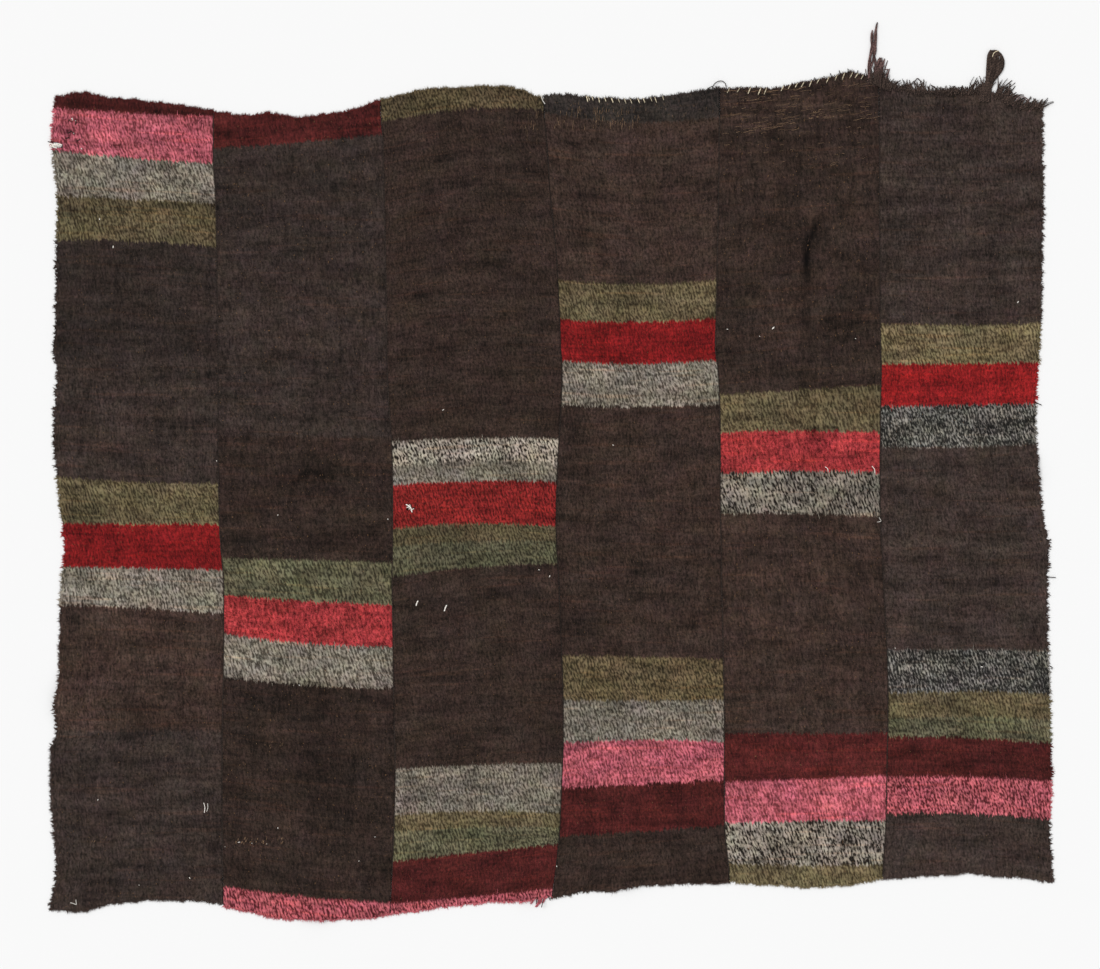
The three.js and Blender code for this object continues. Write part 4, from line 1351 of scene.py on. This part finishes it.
def tuft_yarns():
    """The dark tuft of short ends that the tassel's locks stand in."""
    yarns = []
    for k in range(TUFT["strands"]):
        n = 900 + 5.3 * k
        x0 = TUFT["left"] + (TUFT["right"] - TUFT["left"]) * scatter(n)
        strip = STRIPS[4] if x0 < TUFT["middle"] else STRIPS[5]
        y0 = top_edge_y(strip, x0) - 3 - 8 * scatter(n + 4)
        part = np.linspace(0, 1, 8)
        slope = np.clip(1.1 - abs(x0 - TUFT["middle"]) / 24, 0.22, 1)
        rise = (TUFT["top"] - y0) * slope * (0.35 + 0.8 * scatter(n + 1) ** 1.3)
        x = x0 + 14 * (scatter(n + 2) - 0.42) * part ** 1.5 + 1.2 * np.sin(5 * part + n) * part
        z = 3.4 + 2.2 * scatter(n + 3) - 3.2 * part
        radius = (0.6 + 0.5 * scatter(n + 5)) * (1 - 0.6 * part ** 2)
        yarns.append(strand(x, y0 + rise * part, np.maximum(z, 0.8), radius))
    return yarns


def loop_yarns():
    """A hank of uncut warp: yarns side by side in two layers, gathered at its neck and its fold."""
    yarns = []
    y = np.linspace(LOOP_ROWS[0]["y"], LOOP_ROWS[-1]["y"], 26)
    left = smooth_at(LOOP_ROWS, "y", "left", y)
    right = smooth_at(LOOP_ROWS, "y", "right", y)
    thick = 0.95 * (right - left) / LOOP_YARNS + 0.3
    for layer in range(2):
        for k in range(LOOP_YARNS):
            n = 40 * layer + 1.9 * k
            share = (k + 0.5) / LOOP_YARNS
            lay = 0.2 * np.sin((y - 640) / 15 + 6 * scatter(n)) * (1 - abs(2 * share - 1))
            x = left + np.clip(share + lay, 0.04, 0.96) * (right - left)
            reach = 1 - 0.02 * scatter(n + 1)
            height = y[0] + (y - y[0]) * reach
            rounded = np.sqrt(np.maximum(1 - (2 * share - 1) ** 2, 0.1))
            z = np.maximum(1.2 + layer * 2.6 * rounded + 0.3 * np.sin(y / 5 + n), thick)
            yarns.append(strand(x, height, z, thick))
    return yarns


def sewing_yarns():
    """The hidden seams: a sunken yarn along each, crossed by small slanting stitches."""
    yarns = []
    for strip in STRIPS[:-1]:
        y = np.arange(SEAM_LOW, SEAM_HIGH, SEAM_STEP)
        right = strip_sides(strip, y)[1] + SEAM_GAP / 2
        z = lift_at(right, y) + 1.7
        yarns.append(strand(right + 0.2 * np.sin(y / 4), y, z, 1.0))
        for k in range(STITCHES):
            n = k + 200 * len(yarns)
            foot = STITCH_LOW + STITCH_PITCH * k + 2.5 * scatter(n)
            middle = float(strip_sides(strip, foot)[1]) + SEAM_GAP / 2
            part = np.linspace(-1, 1, 5)
            x = middle + 1.5 * part
            place_y = foot + (1.4 + scatter(n + 0.4)) * part
            z = lift_at(x, place_y) + 2.5 - 0.8 * part ** 2
            yarns.append(strand(x, place_y, z, 0.55))
    return yarns


def whip_yarns():
    """Cream stitches that come over an end's edge and slant down into the face."""
    yarns = []
    for row in WHIP_STITCHES:
        strip = STRIPS[row["strip"]]
        for k, place in enumerate(row["places"]):
            n = place + 0.3
            lean = row["lean"] + 2.4 * (scatter(n) - 0.5)
            fall = row["fall"] * (0.72 + 0.45 * scatter(n + 1))
            part = np.linspace(0, 1, 9)
            x = place + lean * (1 - part)
            edge = top_edge_y(strip, place + lean) + 1.4
            y = edge - fall * part
            over = np.minimum(1, 3.4 * part + 0.2) * np.minimum(1, 5 * (1 - part) + 0.3)
            z = np.maximum(lift_at(x, y) + 4.3 * over, 1.2)
            radius = (0.55 + 0.3 * scatter(n + 2)) * (0.8 + 0.4 * np.sin(math.pi * part))
            yarns.append(strand(x, y, z, radius))
    return yarns


def thread_yarns(paths, radius):
    return [(curve_on_face(path, 6 + 5 * len(path), 0.7), radius) for path in paths]


def stray_yarns():
    """Single faded yarns that lie on the face, most of them at the tops of the fourth and fifth strips."""
    yarns = []
    for zone in STRAY_YARNS:
        strip = STRIPS[zone["strip"] - 1]
        for k in range(zone["count"]):
            n = zone["low"] + zone["strip"] + 3.7 * k
            x0 = zone["left"] + (zone["right"] - zone["left"]) * scatter(n)
            y0 = zone["low"] + (zone["high"] - zone["low"]) * scatter(n + 1)
            y0 = min(y0, top_edge_y(strip, x0) - 5)
            turn = math.radians(zone["turn"] + 12 * (scatter(n + 2) - 0.5))
            length = zone["shortest"] + (zone["longest"] - zone["shortest"]) * scatter(n + 3) ** 2
            part = np.linspace(-0.5, 0.5, 9)
            x = x0 + math.cos(turn) * length * part + 0.3 * np.sin(11 * part + n)
            y = y0 + math.sin(turn) * length * part + 0.5 * np.sin(9 * part + n)
            z = height_of_face(x, y) + 0.25 - 1.4 * (2 * part) ** 4
            yarns.append(strand(x, y, z, zone["thickness"] * (0.22 + 0.18 * scatter(n + 4))))
    return yarns


def pink_yarns():
    yarns = []
    for k, lock in enumerate(PINK_LOCKS):
        yarns += lock_of_yarns(lock, 3, int(2 + lock[0]["width"]), 200 + 23 * k, radius=0.8, samples=9)
    return yarns


def lint_yarns():
    """Small pale knots of lint."""
    yarns = []
    for k, knot in enumerate(LINT):
        turn = 2 * math.pi * scatter(k + 0.2)
        length = knot["size"] * (0.9 + 1.2 * scatter(k + 0.4))
        part = np.linspace(-1, 1, 5)
        x = knot["x"] + np.cos(turn) * length * part
        y = knot["y"] + np.sin(turn) * length * part
        z = height_of_face(x, y) + 0.4
        yarns.append(strand(x, y, z, 0.82 * knot["size"] * np.sqrt(np.maximum(1 - part ** 2, 0.12))))
    return yarns


def prism_cutter(ring):
    """A closed upright prism over a ring of places, tall enough to cut right through the cloth."""
    count = len(ring)
    low = [(x * MM, y * MM, CUT_LOW * MM) for x, y in ring]
    high = [(x * MM, y * MM, CUT_HIGH * MM) for x, y in ring]
    index = np.arange(count)
    following = np.roll(index, -1)
    walls = np.stack([index, following, following + count, index + count], -1)
    caps = np.array([index[::-1], index + count])
    return bpy.data.objects.new("cutter", plain_mesh("cutter", np.array(low + high), [walls, caps]))


def hole_ring(hole):
    turn = math.radians(hole["turn"])
    ring = []
    for k in range(HOLE_POINTS):
        angle = 2 * math.pi * k / HOLE_POINTS
        ragged = 0.82 + 0.36 * scatter(k + hole["x"])
        aside = hole["width"] / 2 * math.cos(angle) * ragged
        along = hole["length"] / 2 * math.sin(angle) * ragged
        ring.append((
            hole["x"] + aside * math.cos(turn) + along * math.sin(turn),
            hole["y"] - aside * math.sin(turn) + along * math.cos(turn),
        ))
    return ring[::-1]


def cut_through(cloth, ring):
    """Cuts the cloth with an upright prism and keeps the result as its mesh."""
    cutter = prism_cutter(ring)
    bpy.context.collection.objects.link(cutter)
    modifier = cloth.modifiers.new("cut", "BOOLEAN")
    modifier.operation = "DIFFERENCE"
    modifier.solver = "EXACT"
    modifier.object = cutter
    evaluated = cloth.evaluated_get(bpy.context.evaluated_depsgraph_get())
    name = cloth.data.name
    cut = bpy.data.meshes.new_from_object(evaluated)
    cloth.modifiers.clear()
    cloth.data = cut
    cut.name = name
    bpy.data.objects.remove(cutter)


# The pieces

def build_strips():
    """The six sheets of cloth, each with its nap and the fuzz along the edges that show."""
    nap = nap_material()
    sheets = []
    for number, strip in enumerate(STRIPS, 1):
        cloth = place_object(strip_mesh(strip), twill_material(number, strip))
        if strip["name"] == "strip_1":
            cut_through(cloth, SELVEDGE_BITE[::-1])
        if strip["name"] == "strip_3":
            for hole in WEAR_HOLES:
                cut_through(cloth, hole_ring(hole))
        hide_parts(strip["name"])
        fuzz = [place_object(nap_mesh(number, strip), nap), place_object(rim_fuzz_mesh(number, strip), nap)]
        sheets.append((cloth, fuzz))
    return sheets


def build_yarns():
    """The fringe, tassel and loop in place of the plain solids, then the sewing and loose threads."""
    warp = yarn_material("fringe_wool", (84, 68, 60), (24, 20, 19), (0.45, 1.6))
    twisted = yarn_material("tassel_wool", (112, 86, 82), (28, 22, 21), (0.25, 2.0))
    dark = yarn_material("sewing_wool", (58, 48, 43), (30, 25, 22))
    cream = yarn_material("cream_wool", (232, 220, 192), (150, 132, 104))
    lint = yarn_material("white_lint", (250, 246, 240), (200, 192, 180))
    faded = yarn_material("faded_weft", (136, 110, 86), (84, 64, 50), (0.4, 1.4))
    pink = yarn_material("pink_wool", (206, 112, 124), (120, 50, 58))
    for name, yarns, material, slot, sides in (
        ("warp_fringe_yarns", fringe_yarns(), warp, "warp_yarn", 5),
        ("corner_tassel_yarns", tassel_yarns(), twisted, "warp_yarn", 6),
        ("corner_tuft_yarns", tuft_yarns(), warp, "warp_yarn", 5),
        ("warp_loop_yarns", loop_yarns(), warp, "warp_yarn", 8),
        ("seam_sewing", sewing_yarns(), dark, "seam_yarn", 5),
        ("whip_sewing", whip_yarns(), cream, "cream_yarn", 8),
        ("curled_ends", thread_yarns(CURLED_ENDS, 0.85), twisted, "warp_yarn", 6),
        ("white_fluff", thread_yarns(WHITE_FLUFF, 1.05), lint, "cream_yarn", 6),
        ("dark_loose_threads", thread_yarns(DARK_THREADS, 0.75), dark, "seam_yarn", 6),
        ("pale_loose_threads", thread_yarns(PALE_THREADS, 0.6) + lint_yarns(), lint, "cream_yarn", 6),
        ("stray_wefts", stray_yarns(), faded, "seam_yarn", 5),
        ("loop_thread", [(np.array([(x, y, 5.2) for x, y in LOOP_SLIT]), 0.7)], cream, "cream_yarn", 8),
        ("pink_end_tuft", pink_yarns(), pink, "brown_twill", 6),
    ):
        place_object(yarn_mesh(name, yarns, sides), material)
    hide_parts("warp_fringe")
    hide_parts("corner_tassel")
    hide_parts("warp_loop")


# Floor, light and camera

def build_floor():
    mesh = bpy.data.meshes.new("floor")
    half = 40.0
    corners = [(-half, -half, 0), (half, -half, 0), (half, half, 0), (-half, half, 0)]
    mesh.from_pydata(corners, [], [(0, 1, 2, 3)])
    floor = bpy.data.objects.new("floor", mesh)
    bpy.context.collection.objects.link(floor)
    material = bpy.data.materials.new("pale_floor")
    material.use_nodes = True
    shader = material.node_tree.nodes["Principled BSDF"]
    shader.inputs["Base Color"].default_value = (0.93, 0.93, 0.93, 1)
    shader.inputs["Roughness"].default_value = 1.0
    shader.inputs["Specular IOR Level"].default_value = 0.0
    mesh.materials.append(material)


def build_light():
    world = bpy.data.worlds.new("studio")
    bpy.context.scene.world = world
    world.use_nodes = True
    world.node_tree.nodes["Background"].inputs[0].default_value = (1, 1, 1, 1)
    world.node_tree.nodes["Background"].inputs[1].default_value = 0.62
    data = bpy.data.lights.new("key", "SUN")
    data.energy = 1.5
    data.angle = math.radians(40)
    key = bpy.data.objects.new("key", data)
    bpy.context.collection.objects.link(key)
    key.rotation_euler = (math.radians(-14), math.radians(-30), 0)
    bpy.context.scene.view_settings.view_transform = "Standard"


def build_camera():
    data = bpy.data.cameras.new("camera")
    data.sensor_width = SENSOR_WIDTH
    data.lens = SENSOR_WIDTH * CAMERA_HEIGHT / FRAME_WIDTH
    camera = bpy.data.objects.new("camera", data)
    bpy.context.collection.objects.link(camera)
    camera.location = (FRAME_MIDDLE[0], FRAME_MIDDLE[1], CAMERA_HEIGHT + CLOTH_THICKNESS * MM)
    bpy.context.scene.camera = camera


build_camera()
sheets = build_strips()
build_yarns()
build_floor()
build_light()
